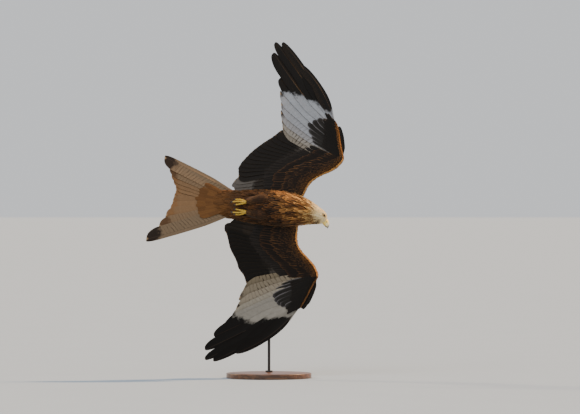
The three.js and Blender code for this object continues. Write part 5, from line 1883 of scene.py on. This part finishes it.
def makeRod(material):
    bottom = stand["thick"] - 2
    straight = stand["rodTop"] - stand["rodBend"] - bottom
    path = [[0, stand["rodBack"], bottom + h] for h in np.linspace(0, straight, 8)]
    for k in range(1, 13):
        a = k / 12 * math.pi / 2
        path.append([
            0, stand["rodBack"] - stand["rodBend"] * (1 - math.cos(a)),
            stand["rodTop"] - stand["rodBend"] * (1 - math.sin(a)),
        ])
    path.append([0, stand["rodEnd"], stand["rodTop"]])
    path = np.array(path, float) - birdPlace
    rings, aside = [], np.array([1.0, 0, 0])
    for k, spot in enumerate(path):
        along = unit(path[min(k + 1, len(path) - 1)] - path[max(k - 1, 0)])
        up = np.cross(along, aside)
        rings.append(ovalRing(spot, aside * stand["rodRadius"], up * stand["rodRadius"], 24))
    rod = tubeOf("rod_tube", rings)
    deselectAll()
    bpy.ops.mesh.primitive_cylinder_add(
        vertices=48, radius=stand["collarRadius"] / 1000, depth=stand["collarThick"] / 1000,
        location=(0, stand["rodBack"] / 1000, (stand["thick"] + stand["collarThick"] / 2) / 1000),
    )
    collar = bpy.context.object
    applyModifier(collar, "BEVEL", width=stand["collarEdge"] / 1000, segments=3, **softEdge)
    made = joined("rod", [rod, collar])
    putAtOrigin(made)
    return finished(made, material, 35)


# Putting the bird together

wings = {side: wingFrame(pose) for side, pose in wingPoses.items()}
flightVane = flightMaterial("flight feather vane", 0.58)
tailVane = flightMaterial("tail feather vane", 0.55)
rustCoat = bodyFeatherMaterial("rust body feathers", "#20170f")
wingCoat = bodyFeatherMaterial("wing covert feathers", "#53463e")
paleCoat = bodyFeatherMaterial("pale head feathers", "#6e5539")

skin = makeSkin(wings)
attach(skin, "root")
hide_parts("torso", "neck", "head", "tail_base", "leg_right_thigh", "leg_left_thigh")
choose(skin)
skinTree = BVHTree.FromObject(skin, bpy.context.evaluated_depsgraph_get())

for side in ("right", "left"):
    groups = wingGroups(wingPoses[side])
    flight = flightFeathers(side, wings[side], groups, flightVane)
    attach(flight, "root")
    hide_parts(f"wing_{side}_arm", f"wing_{side}_forearm", f"wing_{side}_hand")
    for piece in covertFeathers(side, wings[side], groups, wingCoat):
        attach(piece, "root")

tailPiece = tailFeathers(tailVane)
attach(tailPiece, "root")
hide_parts("tail")
tailCoat = tailCoverts(rustCoat)
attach(tailCoat, "root")

eyeSpots = [(eyeCentre(side) + eyeFacing(side) * 7.5, 5.7) for side in (-1, 1)]
# name, kind of feather, rows, angles, shape, material, slot, and step along in feather lengths
zones = [
    ("coat_belly", "contour", (0.3, 7.0), (180, 360), "torso", rustCoat, "body_feathers", 0.44),
    ("coat_back", "contour", (0.3, 7.0), (0, 180), "torso", rustCoat, "body_feathers", 0.44),
    ("coat_neck", "contour", (7.0, 9.3), (0, 360), "neck", rustCoat, "body_feathers", 0.38),
    ("coat_head", "down", (9.1, 12.95), (0, 360), "head", paleCoat, "head_feathers", 0.21),
]
for name, kind, reach, turn, shape, material, slot, stepLong in zones:
    rows, angles = coatRoots(*reach, *turn, stepLong)
    piece = coatFeathers(name, kind, rows, angles, (skinTree, eyeSpots), material, coatShapes[shape])
    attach(piece, "root")

for side in ("right", "left"):
    piece = trouserFeathers(side, skinTree, rustCoat)
    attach(piece, "root")

yellow = waxySkin("waxy yellow skin", "#c6a535", "#937426", 950.0, 0.00012)
cereSkin = waxySkin("smooth yellow cere", "#f4dd82", "#ecce66", 800.0, 0.00003)
lidSkin = waxySkin("grey-yellow lid skin", "#a3916a", "#6b5c44", 1300.0, 0.0001)
darkHorn = hornMaterial("black horn", "#1a1716", "#0d0c0c", 0, 30)
upperHorn = hornMaterial("bill horn", "#eddca4", "#2b2623", 15, 23)
lowerHorn = hornMaterial("lower bill horn", "#d0aa45", "#1f1b19", 9, 16)
wetEye = eyeMaterial()

cere = tubeOf("cere_skin", billRings(head["cere"], 12, 0.25, -1))
cere.data.materials.append(cereSkin)
# the hollows take a dark material, painted shade where the recess is dark
cere = cutNostrils(cere, waxySkin("nostril painted shade", "#2a2018", "#120d0a", 900.0, 0.0001))
upperBill = tubeOf("upper_bill", billRings(head["upper"], 30, 0.3, -1))
upperBill.data.materials.append(upperHorn)
lowerBill = tubeOf("lower_bill", billRings(head["lower"], 18, 0.0, 1))
lowerBill.data.materials.append(lowerHorn)
faceParts = (
    (cere, "cere", "yellow_skin"),
    (upperBill, "bill_upper", "horn"),
    (lowerBill, "bill_lower", "yellow_skin"),
)
for piece, node, slot in faceParts:
    smooth(piece, 50)
    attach(piece, "root")
    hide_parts(node)

for side, name in ((-1, "right"), (1, "left")):
    eye = makeEye(side, wetEye)
    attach(eye, "root")
    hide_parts(f"eye_{name}")
    rim = makeLids(side, lidSkin, skinTree)
    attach(rim, "root")
    gape = makeGape(side, cereSkin, skinTree)
    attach(gape, "root")
    toes = makeFoot(name, yellow)
    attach(toes, "root")
    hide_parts(f"foot_{name}")
    for toe in foot["toes"]:
        claw = makeClaw(name, toe, darkHorn)
        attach(claw, "root")
        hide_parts(f"claw_{name}_{toe}")
print("head and feet made")

base = makeBase(walnutMaterial())
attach(base, "root")
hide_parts("stand_base")
rod = makeRod(paintedSteel())
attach(rod, "root")
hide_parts("stand_rod")
print("stand made")


# Studio

# in metres, with the camera's sensor in millimetres
studio = {
    "floorSize": 400.0, "cameraBack": 13.0, "aim": (0.0744, -0.035, 0.603), "frameWidth": 2.04,
    "sensor": 36, "farthest": 600, "sky": "#e9ebee", "skyStrength": 0.9,
}


def makeFloor():
    deselectAll()
    bpy.ops.mesh.primitive_plane_add(size=studio["floorSize"], location=(0, 0, 0))
    floor = bpy.context.object
    floor.name = "floor"
    material, tree, shader = newMaterial("matt pale floor", Roughness=0.9)
    spots = addNode(tree, "TexCoord").outputs["Object"]
    cloud = addNode(tree, "TexNoise", {"Scale": 3.0, "Detail": 2.0, "Vector": spots})
    mixed = addNode(tree, "Mix", {"data_type": "RGBA", 0: cloud, 6: rgba("#8ba0b7"), 7: rgba("#8fa4bb")})
    tree.links.new(mixed.outputs[2], shader.inputs["Base Color"])
    floor.data.materials.append(material)
    return floor


# A distant lamp: the soft ones stand for large panels, so that the floor is lit evenly.
def studioLamp(name, towards, power, degrees, colour):
    data = bpy.data.lights.new(name, "SUN")
    data.energy, data.angle, data.color = power, math.radians(degrees), tuple(hexColour(colour))
    lamp = bpy.data.objects.new(name, data)
    lamp.rotation_euler = Vector(towards).to_track_quat("Z", "Y").to_euler()
    bpy.context.scene.collection.objects.link(lamp)


makeFloor()
studioLamp("soft key", (-0.35, -0.8, 0.75), 1.5, 40, "#fff4e6")
studioLamp("warm rim", (0.67, 0.26, 0.69), 7.5, 4, "#ffc98e")
studioLamp("low back light", (-0.75, 0.5, 0.43), 2.0, 6, "#ffd9a8")
print("floor and lamps set")

world = bpy.data.worlds.new("studio")
bpy.context.scene.world = world
world.use_nodes = True
backdrop = world.node_tree.nodes["Background"]
backdrop.inputs["Color"].default_value = rgba(studio["sky"])
backdrop.inputs["Strength"].default_value = studio["skyStrength"]

cameraData = bpy.data.cameras.new("camera")
cameraData.sensor_width = studio["sensor"]
cameraData.lens = studio["sensor"] * studio["cameraBack"] / studio["frameWidth"]
cameraData.clip_end = studio["farthest"]
camera = bpy.data.objects.new("camera", cameraData)
aim = studio["aim"]
camera.location = (aim[0], aim[1] - studio["cameraBack"], aim[2])
camera.rotation_euler = (math.radians(90), 0, 0)
bpy.context.scene.collection.objects.link(camera)
bpy.context.scene.camera = camera
